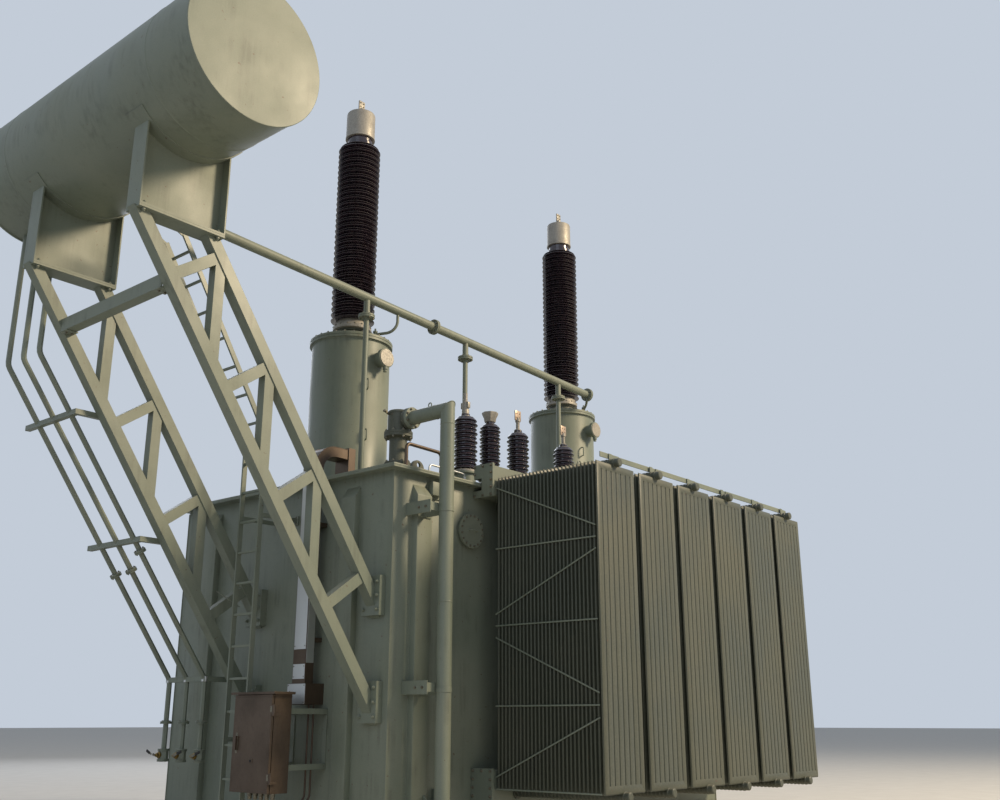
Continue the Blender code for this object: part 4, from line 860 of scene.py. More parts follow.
class TRANSFORMER_OT_lv_bushings(bpy.types.Operator):
    """Low-voltage bushings with their necks, clamp rings and terminals"""
    bl_idname = "transformer.lv_bushings"
    bl_label = "Low-voltage bushings"

    def execute(self, context):
        made = ((0.130, "clamp"), (0.115, "flared"), (0.125, "flag"), (0.125, "flag"))
        for number, (reach, kind) in enumerate(made, 1):
            middle = middle_of(f"lv_bushing_{number}")
            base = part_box(f"lv_bushing_{number}")[0].z
            self.bushing(number, middle.x, middle.y, base, reach, kind)
        return {"FINISHED"}

    def bushing(self, number, x, y, base, reach, kind):
        """One bushing, whose rings follow the reach of its sheds."""
        at = (x, y, base)
        foot = reach * 1.15
        wall = reach * 0.90
        brim = reach * 1.10
        neck = turned("neck", [(foot, 0), (foot, 0.020), (wall, 0.022), (wall, 0.190),
                               (brim, 0.192), (brim, 0.212)], at, sides=40)
        finish(f"lv_neck_{number}", [neck])
        ring = turned("ring", [(reach * 1.08, 0.212), (reach * 1.08, 0.230),
                               (reach * 0.92, 0.240)], at, sides=40)
        finish(f"lv_clamp_ring_{number}", [ring], ALUMINIUM)
        bolts(f"lv_bolts_{number}", 0.011,
              ring_places((x, y, base + 0.020), foot * 0.91, 12)
              + ring_places((x, y, base + 0.229), reach, 8))
        start = (x, y, base + 0.240)
        core = reach * 0.78
        count = 14 if kind == "flared" else 12
        sheds = turned("sheds", porcelain_profile(0.580, count, core, reach * 1.04,
                                                  reach * 0.97), start, sides=40)
        head = turned("head", [(core, 0.578), (reach * 0.70, 0.590), (0.050, 0.600),
                               (0.048, 0.630)], start)
        finish(f"lv_porcelain_{number}", [sheds, head], PORCELAIN,
               stands_for=(f"lv_bushing_{number}",))
        parts = lv_terminal(kind, x, y, base + 0.820)
        if kind == "flag":
            flag = parts.pop()
            plugs = [turned("plug", [(0.0075, -0.0085), (0.0075, 0.0085)],
                            (x + dx, y, base + 1.05 + dz), "Y", 12)
                     for dx in (-0.022, 0.022) for dz in (-0.025, 0.025)]
            finish(f"lv_flag_{number}", [flag], COPPER)
            finish(f"lv_flag_plugs_{number}", plugs, RUBBER)
        finish(f"lv_stem_{number}", parts, ALUMINIUM)


def box_rib(corner, opposite, way):
    """A box rib on a wall, whose head slopes back to the wall."""
    head_drop = 0.120
    middle = (Vector(corner) + Vector(opposite)) / 2
    rib = block("rib", corner, opposite, 0)
    shift(rib, lambda at: at.z > middle.z and (at - middle).dot(Vector(way)) > 0,
          DOWN * head_drop)
    return soften(rib, 0.008, 2, 20)


class TRANSFORMER_OT_tank(bpy.types.Operator):
    """Tank with its ribs and thin flange, the welded cover, lugs, pads and cover fittings"""
    bl_idname = "transformer.tank"
    bl_label = "Tank and cover"

    def execute(self, context):
        sizes = context.scene.dressing_sizes
        low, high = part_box("tank_cover")
        self.shell(sizes.flange_edge)
        self.cover(low, high, sizes.cover_edge)
        self.lugs(low, high, sizes.cover_edge)
        self.jack_pads()
        self.cover_fittings()
        self.near_wall_fittings()
        self.seams()
        return {"FINISHED"}

    def shell(self, flange_edge):
        """Walls, foot plate, top flange and box ribs."""
        low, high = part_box("tank_body")
        foot = low.z + 0.035
        ledge = Vector((0.06, 0.06, 0))
        rib_wide = 0.100
        rib_out = 0.070
        rib_sunk = 0.010
        rib_top = high.z - 0.105
        first = Vector((-TANK_END, -TANK_SIDE, low.z))
        shapes = [block("walls", first, (TANK_END, TANK_SIDE, high.z), 0.010),
                  block("foot", first - ledge, Vector((TANK_END, TANK_SIDE, foot)) + ledge,
                        0.003, 1),
                  block("flange", (low.x, low.y, high.z - flange_edge), high, 0.002, 1)]
        spans = [(-TANK_END + 0.35, foot, rib_top)]
        spans += [(x, 0.8825, 3.3766) for x in (-0.9797, 0.4770, 1.9337)]
        for way in (-1, 1):
            wall = way * (TANK_SIDE - rib_sunk)
            face = way * (TANK_SIDE + rib_out)
            for x, start, top in spans:
                shapes.append(box_rib((x - rib_wide, wall, start), (x + rib_wide, face, top),
                                      (0, way, 0)))
            wall = way * (TANK_END - rib_sunk)
            face = way * (TANK_END + rib_out)
            for y in (-1.10, 1.10):
                shapes.append(box_rib((wall, y - rib_wide, foot), (face, y + rib_wide, rib_top),
                                      (way, 0, 0)))
        finish("tank_shell", shapes, stands_for=("tank_body",))

    def cover(self, low, high, edge):
        """A cover plate, thin at its edge and stiffened inside it, welded to the flange."""
        inset = Vector((0.160, 0.160, 0))
        bead = Vector((0.0015, 0.0015, -0.004))
        plate = block("plate", low, (high.x, high.y, low.z + edge), 0.003)
        raised = block("raised", low + inset, high - inset, 0.006)
        weld = block("weld", low + bead, Vector((high.x, high.y, low.z)) - bead, 0.002, 1)
        finish("cover_plate", [plate, raised, weld], stands_for=("tank_cover",))

    def near_wall_fittings(self):
        """Earthing box, hand-hole bolts and grip, and the thin tubes by the relief valve."""
        wall = -TANK_SIDE
        case = block("case", (-2.386, wall - 0.070, 3.346), (-2.241, wall, 3.480), 0.006)
        stay = block("stay", (-2.410, wall - 0.012, 3.320), (-2.217, wall, 3.346), 0.002, 1)
        finish("earthing_box", [case, stay])
        at = middle_of("hand_hole")
        at.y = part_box("hand_hole")[0].y
        bolts("hand_hole_bolts", 0.011, ring_places(at, 0.152, 16, NEARWARD))
        reach = Vector((0.05, 0, 0))
        finish("hand_hole_grip", [handle(at - reach, at + reach, (0, -0.04, 0))])
        oil = rounded_route([(-2.54, -1.50, COVER_TOP), (-2.54, -1.50, 3.866),
                             (-2.05, -1.50, 3.857), (-2.05, -1.50, COVER_TOP)], 0.05, 6)
        finish("sampling_tube", [pipe("oil", oil, 0.018, 5)], STAINLESS)
        alarm = rounded_route([(-2.30, -1.58, 3.560), (-2.30, -1.58, 3.685),
                               (-1.78, -1.58, 3.672), (-1.78, -1.58, 3.560)], 0.04, 6)
        finish("alarm_conduit", [pipe("conduit", alarm, 0.010)], GALVANISED)

    def lugs(self, low, high, edge):
        """Plates with an eye, welded upright on the cover near its corners."""
        lug = turned("lug", [(0.085, -0.012), (0.085, 0.012)], axis="Y")
        edit(lug)
        pick(lug, lambda at: at.z < 0.001)
        bpy.ops.transform.resize(value=(1.35, 1, 0), center_override=(0, 0, 0))
        bpy.ops.transform.translate(value=(0, 0, -0.005))
        close(gap=0.0005)
        cut_away(lug, turned("hole", [(0.024, -0.05), (0.024, 0.05)], (0.01, 0, 0.042), "Y", 20))
        places = [Matrix.Translation((x, y, low.z + edge))
                  for x in (low.x + 0.36, high.x - 0.36) for y in (low.y + 0.06, high.y - 0.06)]
        finish("lifting_lugs", [repeated("lugs", lug, places)], SHADED_PAINT)

    def jack_pads(self):
        """Gusseted brackets low on the side walls, where jacks lift the tank."""
        low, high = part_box("base_frame")
        bottom = 0.452
        top = 0.477
        parts = []
        from_end = 0.62
        for side in (-1, 1):
            y = side * TANK_SIDE
            out = y + side * 0.20
            for x in (low.x + from_end, high.x - from_end):
                parts.append(block("pad", (x - 0.13, y, bottom), (x + 0.13, out, top)))
                for rib_x in (x - 0.09, x + 0.09):
                    gusset = block("gusset", (rib_x - 0.009, y, top),
                                   (rib_x + 0.009, out, 0.680), 0.001, 1)
                    # The outer top corner goes back towards the wall
                    shift(gusset, lambda at: at.z > 0.6 and abs(at.y) > TANK_SIDE + 0.1,
                          (0, -side * 0.16, 0))
                    parts.append(gusset)
        finish("jacking_pads", parts)

    def cover_fittings(self):
        """Inspection covers and thermometer pockets on the cover."""
        places = ((-0.60, 0.95, 0.21), (0.95, 0.95, 0.21), (1.05, -0.85, 0.13))
        reach = Vector((0.05, 0, 0))
        for number, (x, y, radius) in enumerate(places, 1):
            neck = radius * 0.90
            cap = turned("cap", [(neck, 0), (neck, 0.040), (radius, 0.040), (radius, 0.058),
                                 (radius - 0.003, 0.061)], (x, y, COVER_TOP), sides=40)
            foot = Vector((x, y, COVER_TOP + 0.058))
            finish(f"inspection_cover_{number}",
                   [cap, handle(foot - reach, foot + reach, (0, 0, 0.042))])
            bolts(f"inspection_bolts_{number}", 0.012,
                  ring_places((x, y, COVER_TOP + 0.060), neck, 14))
        profile = ((0.045, 0), (0.045, 0.012), (0.026, 0.014), (0.026, 0.10), (0.034, 0.102),
                   (0.034, 0.125), (0.020, 0.135))
        pockets = [turned("pocket", profile, (x, y, COVER_TOP), sides=20)
                   for x, y in ((1.75, -1.25), (2.45, 1.20), (-2.35, 1.25))]
        finish("thermometer_pockets", pockets, ALUMINIUM)

    def seams(self):
        """Weld beads down the tank's corners and round the walls where they meet the foot."""
        end = TANK_END
        side = TANK_SIDE
        foot = 0.317
        proud = 0.002
        beads = []
        for x in (-end, end):
            for y in (-side, side):
                beads.append(pipe("bead", [(x, y, 0.318), (x, y, 3.498)], 0.006, 1))
        for y in (-side - proud, side + proud):
            beads.append(pipe("bead", [(-end, y, foot), (end, y, foot)], 0.007, 1))
        for x in (-end - proud, end + proud):
            beads.append(pipe("bead", [(x, -side, foot), (x, side, foot)], 0.007, 1))
        finish("tank_weld_beads", beads)


class TRANSFORMER_OT_ducts(bpy.types.Operator):
    """Bolts of the duct end plates"""
    bl_idname = "transformer.ducts"
    bl_label = "Header ducts"

    def execute(self, context):
        margin = 0.022
        rows = 5
        spots = []
        for side, sign in SIDES.items():
            for level in ("top", "bottom"):
                low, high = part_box(f"duct_{side}_{level}")
                near = min(abs(low.y), abs(high.y)) + margin
                far = max(abs(low.y), abs(high.y)) - margin
                middle = (near + far) / 2
                for x, way in ((low.x, -1), (high.x, 1)):
                    for y in (near, middle, far):
                        for step in range(rows):
                            z = low.z + margin + (high.z - low.z - 2 * margin) * step / (rows - 1)
                            # The tank's flange and cover hide one place, and the middle is bare
                            hidden = y < 1.76 and 3.47 < z < 3.63
                            inside = y == middle and 0 < step < rows - 1
                            if not hidden and not inside:
                                spots.append(facing((x, sign * y, z), (way, 0, 0)))
        bolts("duct_plate_bolts", 0.014, spots)
        return {"FINISHED"}


class TRANSFORMER_OT_relief(bpy.types.Operator):
    """Relief valve with its flanges and lever, and its pipe down the wall"""
    bl_idname = "transformer.relief"
    bl_label = "Relief valve"

    def execute(self, context):
        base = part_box("relief_valve")[0].z
        at = Vector((-2.50, -1.34, base))
        outlet_at = at + UP * 0.520
        body = turned("body", [
            (0.140, 0), (0.140, 0.060), (0.136, 0.063), (0.132, 0.063), (0.132, 0.092),
            (0.129, 0.095), (0.096, 0.095), (0.088, 0.108), (0.088, 0.335), (0.120, 0.345),
            (0.142, 0.350), (0.142, 0.372), (0.139, 0.374), (0.139, 0.378), (0.142, 0.380),
            (0.142, 0.405), (0.108, 0.410), (0.108, 0.590), (0.112, 0.592), (0.112, 0.612),
            (0.104, 0.620)], at, sides=40)
        outlet = turned("outlet", [(0.060, -0.02), (0.069, -0.06), (0.069, -0.138),
                                   (0.108, -0.142), (0.108, -0.175)], outlet_at, "Y", 36)
        finish("relief_valve_body", [body, outlet], SHADED_PAINT, stands_for=("relief_valve",))
        bolts("relief_bolts", 0.015,
              ring_places(at + UP * 0.095, 0.114, 8)
              + ring_places(at + UP * 0.405, 0.127, 8)
              + ring_places(at + UP * 0.350, 0.127, 8, DOWN)
              + ring_places(outlet_at + NEARWARD * 0.142, 0.090, 8, -NEARWARD))
        tip = at + Vector((-0.165, 0.03, 0.600))
        lever = strut("lever", at + Vector((-0.10, 0.03, 0.575)), tip, 0.020, 0.012, (0, 1, 0))
        knob = turned("knob", [(0.012, -0.010), (0.020, -0.004), (0.020, 0.006),
                               (0.012, 0.012)], tip, sides=16)
        finish("relief_lever", [lever, knob], ZINC)
        self.drop_pipe(at.x, at.y - 0.1753, outlet_at.z)
        return {"FINISHED"}

    def drop_pipe(self, x, start, level):
        """The pipe from the valve's outlet over the wall and down, with a mitred bend."""
        drop = -2.007
        radius = 0.069
        past_corner = 0.15
        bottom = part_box("relief_pipe")[0].z
        corner = Vector((x, drop, level))
        along = (x, 0, level)
        across = turned("across", [(radius, drop - past_corner), (radius, start)], along, "Y", 48)
        down = turned("down", [(radius, bottom), (radius, level + past_corner)], (x, drop, 0),
                      "Z", 48)
        cut_flat(across, corner, (0, -1, -1))
        cut_flat(down, corner, (0, 1, 1))
        flange = turned("flange", [(0.105, start - 0.030), (0.108, start - 0.027),
                                   (0.108, start)], along, "Y", 36)
        seam = loop(corner, (0.0695, 0, 0), (0, 0.0695, -0.0695), 32)
        parts = [across, down, flange, pipe("seam", seam, 0.0045, 2, True)]
        bead = ((radius, -0.006), (0.0725, 0), (radius, 0.006))
        for z in (level - 0.148, 2.30):
            parts.append(turned("bead", bead, (x, drop, z)))
        parts.append(turned("bead", bead, (x, drop + 0.148, level), "Y"))
        # Clamps, each a plate on the rib behind the pipe, a web and a strap
        rib_face = -1.7203
        plate_face = rib_face - 0.012
        half_tall = 0.045
        clamps = (1.53, 3.15)
        for z in clamps:
            parts.append(block("plate", (x - 0.090, plate_face, z - half_tall),
                               (x + 0.090, rib_face, z + half_tall), 0.002))
            parts.append(block("web", (x - 0.006, drop, z - half_tall),
                               (x + 0.006, rib_face, z + half_tall), 0.002, 1))
            parts.append(turned("strap", [(0.0735, -0.022), (0.0735, 0.022)], (x, drop, z),
                                sides=36))
        eye = loop((x, drop + 0.237, level + 0.088), (0, 0.020, 0), (0, 0, 0.022), 20)
        parts.append(pipe("eye", eye, 0.006, 2, True))
        finish("relief_drop_pipe", parts, stands_for=("relief_pipe",))
        bolts("clamp_bolts", 0.011, [facing((x + dx, plate_face, z), NEARWARD)
                                     for z in clamps for dx in (-0.065, 0.065)])
        self.stays(x, drop)
        bolts("relief_pipe_bolts", 0.013,
              ring_places((x, start - 0.030, level), 0.090, 8, NEARWARD))

    def stays(self, x, drop):
        """Upright plates on the wall beside the drop pipe, each with a flat bolted to its strap."""
        wall = -1.649
        side = x - 0.172
        parts = []
        spots = []
        for z in (1.55, 3.17):
            parts.append(block("plate", (side, drop + 0.040, z - 0.060),
                               (side + 0.010, wall, z + 0.060), 0.002, 1))
            parts.append(block("flat", (side + 0.010, drop + 0.046, z - 0.040),
                               (x - 0.045, drop + 0.054, z + 0.040), 0.002, 1))
            spots += [facing((side, y, z), ENDWARD) for y in (-1.908, -1.820)]
        finish("relief_pipe_stays", parts)
        bolts("stay_bolts", 0.013, spots)


def joint_profile(radius, thickness):
    """A pair of pipe flanges with a gasket line between them."""
    half = thickness / 2
    return [(radius - 0.002, -half), (radius, -half + 0.002), (radius, -0.002),
            (radius - 0.004, -0.002), (radius - 0.004, 0.002), (radius, 0.002),
            (radius, half - 0.002), (radius - 0.002, half)]


class TRANSFORMER_OT_gas_pipe(bpy.types.Operator):
    """Gas pipe with its drops, flanges and the thin pipes to the turrets"""
    bl_idname = "transformer.gas_pipe"
    bl_label = "Gas pipe"

    def execute(self, context):
        y = -0.57
        slope = 0.038
        start = -4.668
        end = 1.82
        end_level = COVER_TOP + 0.0003 + 1.964

        def level(x):
            return end_level + (end - x) * slope

        parts = [pipe("line", [(start, y, level(start)), (end, y, end_level)], 0.050, 10)]
        spots = []
        for x in (-1.23, end):
            parts.append(turned("joint", joint_profile(0.090, 0.040), (x, y, level(x)), "X", 36))
            for way in (-1, 1):
                spots += ring_places((x + way * 0.020, y, level(x)), 0.072, 8, (way, 0, 0))
        for x in (-2.29, -0.68, 1.16):
            top = level(x) - COVER_TOP
            joint = top - 0.225
            profile = [(0.090, 0), (0.090, 0.038), (0.030, 0.040), (0.030, joint - 0.020)]
            profile += [(radius, joint + height) for radius, height in joint_profile(0.090, 0.040)]
            profile += [(0.036, joint + 0.020), (0.034, top)]
            parts.append(turned("drop", profile, (x, y, COVER_TOP)))
            for height, way in ((joint + 0.020, UP), (joint - 0.020, DOWN), (0.038, UP)):
                spots += ring_places((x, y, COVER_TOP + height), 0.070, 6, way)
        for turret in TURRETS:
            parts += self.bleed(turret.x, y, level)
        finish("gas_pipe_line", parts, stands_for=("gas_pipe",))
        bolts("gas_pipe_bolts", 0.010, spots)
        return {"FINISHED"}

    def bleed(self, x, y, level):
        """A thin bent pipe from the gas pipe to a cock on the turret's lid."""
        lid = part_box("hv_turret_1")[1].z
        top = x + 0.17 if x < 0 else x - 0.17
        cock = (x + 0.03, -0.36, lid)
        route = rounded_route([(top, y, level(top)), (top, y, lid + 0.07),
                               (x + 0.03, -0.36, lid + 0.045)], 0.14, 10)
        return [pipe("bleed", route, 0.0165, 5),
                turned("cock", [(0.030, 0), (0.030, 0.020), (0.020, 0.022), (0.020, 0.060),
                                (0.026, 0.064), (0.026, 0.085), (0.010, 0.090),
                                (0.010, 0.115)], cock, sides=20)]


class TRANSFORMER_OT_conservator(bpy.types.Operator):
    """Oil conservator with its flat ends, seams and doubler plates"""
    bl_idname = "transformer.conservator"
    bl_label = "Conservator"

    def execute(self, context):
        middle = middle_of("conservator_shell")
        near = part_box("conservator_end_near")[0].y
        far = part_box("conservator_end_far")[1].y
        radius = 0.642
        rim = 0.654
        bead = radius + 0.003
        edge = [(rim - 0.05, 0), (rim - 0.004, 0.001), (rim, 0.005), (rim, 0.018),
                (rim - 0.003, 0.0205), (radius, 0.024), (radius, 0.029)]
        seam = [(radius, -0.014), (radius, -0.009), (bead, -0.004), (bead, 0.004),
                (radius, 0.009), (radius, 0.014)]
        profile = [(out, near + inward) for out, inward in edge]
        for at in (near + 0.61, far - 0.61):
            profile += [(out, at + along) for out, along in seam]
        profile += [(out, far - inward) for out, inward in reversed(edge)]
        shell = turned("shell", profile, (middle.x, 0, middle.z), "Y", 96)
        finish("conservator", [shell],
               stands_for=("conservator_shell", "conservator_end_near", "conservator_end_far"))
        self.pads(middle.x, middle.z, radius + 0.008)
        return {"FINISHED"}

    def pads(self, x, z, radius):
        """Doubler plates between the shell and its saddles, which reach past their edges."""
        margin = 0.03
        top = z - radius * math.cos(math.radians(50))
        plates = []
        for name in ("saddle_near", "saddle_far"):
            low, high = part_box(name)
            plate = turned("pad", [(radius, low.y - margin), (radius, high.y + margin)],
                           (x, 0, z), "Y", 96)
            cut_flat(plate, (x, 0, top), UP)
            plates.append(plate)
        finish("conservator_pads", plates)


class TRANSFORMER_OT_brackets(bpy.types.Operator):
    """Bolts, cleats and pegs of the saddles and their lattice brackets"""
    bl_idname = "transformer.brackets"
    bl_label = "Conservator brackets"

    def execute(self, context):
        spots = []
        for name in ("saddle_near", "saddle_far"):
            low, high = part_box(name)
            middle = (low.y + high.y) / 2
            for x in (low.x + 0.055, high.x - 0.055):
                for y in (middle - 0.075, middle + 0.075):
                    spots.append(facing((x, y, low.z + 0.020), UP))
                    spots.append(facing((x, y, low.z - 0.0203), DOWN))
            spots += self.foot_bolts(middle)
        bolts("bracket_bolts", 0.019, spots, PAINT)
        self.tie_cleats()
        self.pegs()
        return {"FINISHED"}

    def foot_bolts(self, middle):
        """Three bolts beside each chord on the foot plates at the tank's wall."""
        face = -2.9153
        return [facing((face, middle + dy, level + dz), ENDWARD)
                for level in (1.4256, 2.3606)
                for dy in (-0.088, 0.088)
                for dz in (-0.125, 0.0, 0.125)]

    def tie_cleats(self):
        """Bolted angle plates at both ends of the tie between the brackets."""
        low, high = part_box("bracket_tie")
        plates = []
        spots = []
        for y, way in ((low.y, 1), (high.y, -1)):
            plates.append(block("cleat", (low.x - 0.010, y, low.z - 0.012),
                                (high.x + 0.010, y + way * 0.11, low.z - 0.001), 0.002))
            spots += [facing((x, y + way * 0.06, low.z - 0.012), DOWN)
                      for x in (low.x + 0.022, high.x - 0.022)]
        finish("tie_cleats", plates)
        bolts("tie_bolts", 0.012, spots)

    def pegs(self):
        """Cable pegs on the far bracket's upper chord, and its stay to the ladder."""
        low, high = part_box("lattice_bracket_far")
        profile = ((0.012, -0.01), (0.012, 0.075), (0.018, 0.077), (0.018, 0.085))
        parts = [turned("peg", profile, (x, high.y, z), "Y", 12)
                 for x, z in ((-4.043, 4.172), (-3.788, 3.838), (-3.539, 3.486))]
        parts.append(strut("stay", (-3.441, low.y + 0.02, 2.331), (-3.243, 0.045, 2.477),
                           0.030, 0.006, UP))
        finish("bracket_pegs", parts)


# Where the upright parts of the three valve pipes stand
VALVE_X = -3.30
VALVES_Y = (0.45, 0.75, 1.05)


class TRANSFORMER_OT_valve_pipes(bpy.types.Operator):
    """Flanged couplings, straps and valves of the pipes below the conservator"""
    bl_idname = "transformer.valve_pipes"
    bl_label = "Valve pipes"

    def execute(self, context):
        run = Vector((2.05, 0, -2.8396)).normalized()
        couplings = []
        spots = []
        for y, near_x, near_z in zip(VALVES_Y, (-4.089, -4.003, -4.008), (2.846, 2.687, 2.652)):
            on_line = Vector((-5.35, y, 4.4996))
            middle = on_line + run * run.dot(Vector((near_x, y, near_z)) - on_line)
            joint = turned("joint", joint_profile(0.056, 0.034), sides=28)
            couplings.append(repeated("coupling", joint, [facing(middle, run)]))
            for way in (-1, 1):
                spots += ring_places(middle + run * way * 0.017, 0.043, 4, run * way)
        for y in VALVES_Y:
            for z in (0.894, 0.992, 1.250):
                couplings.append(turned("joint", joint_profile(0.058, 0.024), (VALVE_X, y, z),
                                        sides=28))
            spots += ring_places((VALVE_X, y, 1.262), 0.044, 4)
        finish("pipe_couplings", couplings)
        bolts("coupling_bolts", 0.008, spots)
        self.levers()
        bands = [turned("band", [(0.030, 1.635), (0.030, 1.685)], (VALVE_X, y, 0), sides=24)
                 for y in VALVES_Y]
        finish("pipe_straps", bands, GALVANISED)
        return {"FINISHED"}

    def levers(self):
        """Brass bonnets and steel levers with rubber grips on the three valves."""
        bonnets = []
        blades = []
        grips = []
        for y, turn in zip(VALVES_Y, (-1, -1, 1)):
            bonnets.append(turned("bonnet", [(0.030, -3.340), (0.030, -3.356), (0.019, -3.360),
                                             (0.019, -3.380), (0.010, -3.384), (0.010, -3.394)],
                                  (0, y, 0.943), "X", 16))
            end = Vector((-3.402, y + turn * 0.150, 0.985))
            middle = Vector((-3.392, y + turn * 0.050, 0.950))
            blades.append(strut("blade", (-3.388, y, 0.943), middle, 0.024, 0.005))
            blades.append(strut("blade", middle, end, 0.020, 0.005))
            grips.append(strut("grip", middle.lerp(end, 0.35), end, 0.026, 0.012, bevel=0.004))
        finish("valve_bonnets", bonnets, BRASS)
        finish("valve_levers", blades, ZINC)
        finish("valve_grips", grips, RUBBER)


class TRANSFORMER_OT_ladder(bpy.types.Operator):
    """Foot plates, hooks and bolts of the ladder"""
    bl_idname = "transformer.ladder"
    bl_label = "Ladder"

    def execute(self, context):
        low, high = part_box("ladder")
        face = -2.856
        parts = []
        spots = []
        for y in (low.y + 0.010, high.y - 0.010):
            parts.append(block("foot", (-3.345, y - 0.022, low.z),
                               (-3.255, y + 0.022, low.z + 0.010), 0.002, 1))
            for level in (1.10, 3.20):
                parts.append(block("plate", (face, y - 0.030, level - 0.045),
                                   (-2.8405, y + 0.030, level + 0.045), 0.002, 1))
                spots += [facing((face, y, level + dz), ENDWARD) for dz in (-0.032, 0.032)]
            parts.append(strut("hook", (-4.42, y, high.z - 0.03), (-4.53, y, high.z + 0.02),
                               0.040, 0.010, (0, 1, 0)))
        finish("ladder_fittings", parts)
        bolts("ladder_bolts", 0.008, spots)
        return {"FINISHED"}


class TRANSFORMER_OT_cabinet(bpy.types.Operator):
    """Small fittings of the control cabinet's body and door"""
    bl_idname = "transformer.cabinet"
    bl_label = "Control cabinet"

    def execute(self, context):
        self.door()
        self.shell()
        return {"FINISHED"}

    def door(self):
        """Hinge leaves, handle plate, lock and the folded rim on the door's face."""
        face = -3.498
        sunk = face + 0.001
        body = "cabinet_door"
        low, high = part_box(body)
        leaves = [block("leaf", (face - 0.0030, -0.882, level - 0.026),
                        (sunk, -0.858, level + 0.026), 0.001, 1)
                  for level in (0.7944, 1.3656)]
        leaves.append(block("plate", (face - 0.0025, -0.415, 0.990), (sunk, -0.389, 1.165),
                            0.001, 1))
        finish("door_hinge_leaves", leaves, ZINC, body=body)
        lock = block("lock", (face - 0.003, -0.650, 0.908), (sunk, -0.590, 0.947), 0.001, 1)
        finish("door_lock", [lock], STAINLESS, body=body)
        barrel = turned("barrel", [(0.011, -0.007), (0.011, 0)], (face, -0.620, 0.9275), "X", 16)
        finish("door_lock_barrel", [barrel], RUBBER, body)
        inset = 0.018
        left = -0.880 + inset
        right = -0.342 - inset
        bottom = low.z + inset
        top = high.z - inset
        corners = [(sunk, left, bottom), (sunk, right, bottom), (sunk, right, top),
                   (sunk, left, top)]
        rim = [pipe("fold", ends, 0.0022, 2) for ends in zip(corners, corners[1:] + corners[:1])]
        finish("door_fold", rim, STAINLESS, body=body)

    def shell(self):
        """Cable glands under the cabinet, its roof screws and a drip edge under the lid."""
        profile = ((0.016, 0.600), (0.020, 0.606), (0.020, 0.630), (0.024, 0.632),
                   (0.024, 0.6595))
        glands = [turned("gland", profile, (-3.375, y, 0), sides=12)
                  for y in (-0.80, -0.72, -0.64, -0.56, -0.48)]
        finish("cabinet_glands", glands, ZINC)
        low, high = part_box("cabinet_body")
        start = (low.x + 0.001, low.y + 0.001, high.z - 0.022)
        top = high.z - 0.002
        drips = [block("drip", start, (low.x + 0.004, high.y - 0.001, top), 0.0005, 1),
                 block("drip", start, (high.x - 0.001, low.y + 0.004, top), 0.0005, 1)]
        finish("cabinet_drip_edge", drips, STAINLESS)
        bolts("cabinet_roof_screws", 0.006,
              [facing((x, y, high.z), UP) for x in (low.x + 0.05, high.x - 0.03)
               for y in (low.y + 0.05, (low.y + high.y) / 2, high.y - 0.05)])


class TRANSFORMER_OT_trunk(bpy.types.Operator):
    """Pale plates on the cable trunk and on the junction box's face, a painted reflection of the
    sky in the stainless, and the conduits
    """
    bl_idname = "transformer.trunk"
    bl_label = "Cable trunk"

    def execute(self, context):
        front = -3.042
        side = -0.750
        # Pale sheets laid on the stainless, a painted reflection of the sky; the brown between them
        # is the painted reflection of the ground
        plates = [block("front", (front - 0.002, -0.744, start), (front, -0.576, end), 0.0008, 1)
                  for start, end in ((1.640, 1.775), (1.910, 2.760), (2.764, 3.620))]
        plates.append(block("side", (front + 0.006, side - 0.002, 1.785),
                            (front + 0.094, side, 3.620), 0.0008, 1))
        low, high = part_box("junction_box")
        # The junction box's pale face is a painted reflection of the sky too
        plates.append(block("face", (low.x - 0.003, low.y + 0.004, low.z + 0.004),
                            (low.x, high.y - 0.004, high.z - 0.004), 0.001, 1))
        finish("trunk_reflection_plates", plates, GALVANISED)
        inset = 0.018
        screws = [facing((low.x - 0.003, y, z), ENDWARD)
                  for y in (low.y + inset, high.y - inset)
                  for z in (low.z + inset, high.z - inset)]
        screws += [facing((front - 0.002, y, z), ENDWARD)
                   for z in (1.66, 1.755, 1.94, 2.73, 2.79, 3.59) for y in (-0.732, -0.588)]
        bolts("trunk_screws", 0.005, screws)
        self.arch_edges()
        self.conduits(low.z)
        return {"FINISHED"}

    def arch_edges(self):
        """Folded edges that stand up along both sides of the arch."""
        centre_x = -2.782
        centre_z = 3.6406
        angles = [math.pi - math.pi / 2 * step / 12 for step in range(13)]
        folds = []
        for y in (-0.748, -0.572):
            for radius in (0.161, 0.259):
                line = [(centre_x + radius * math.cos(a), y, centre_z + radius * math.sin(a))
                        for a in angles]
                line.append((-2.630, y, centre_z + radius))
                folds.append(pipe("fold", line, 0.004, 2))
        finish("trunk_folds", folds, STAINLESS)

    def conduits(self, top):
        """Two thin conduits from the junction box down and round to the cabinet's glands."""
        lines = []
        for x, y, gland in ((-2.930, -0.765, -0.72), (-2.965, -0.735, -0.64)):
            route = rounded_route([(x, y, top + 0.002), (x, y, 0.60), (x - 0.16, y, 0.46),
                                   (-3.375, gland, 0.46), (-3.375, gland, 0.605)], 0.09, 6)
            lines.append(pipe("conduit", route, 0.009, 3))
        finish("junction_conduits", lines, STAINLESS)


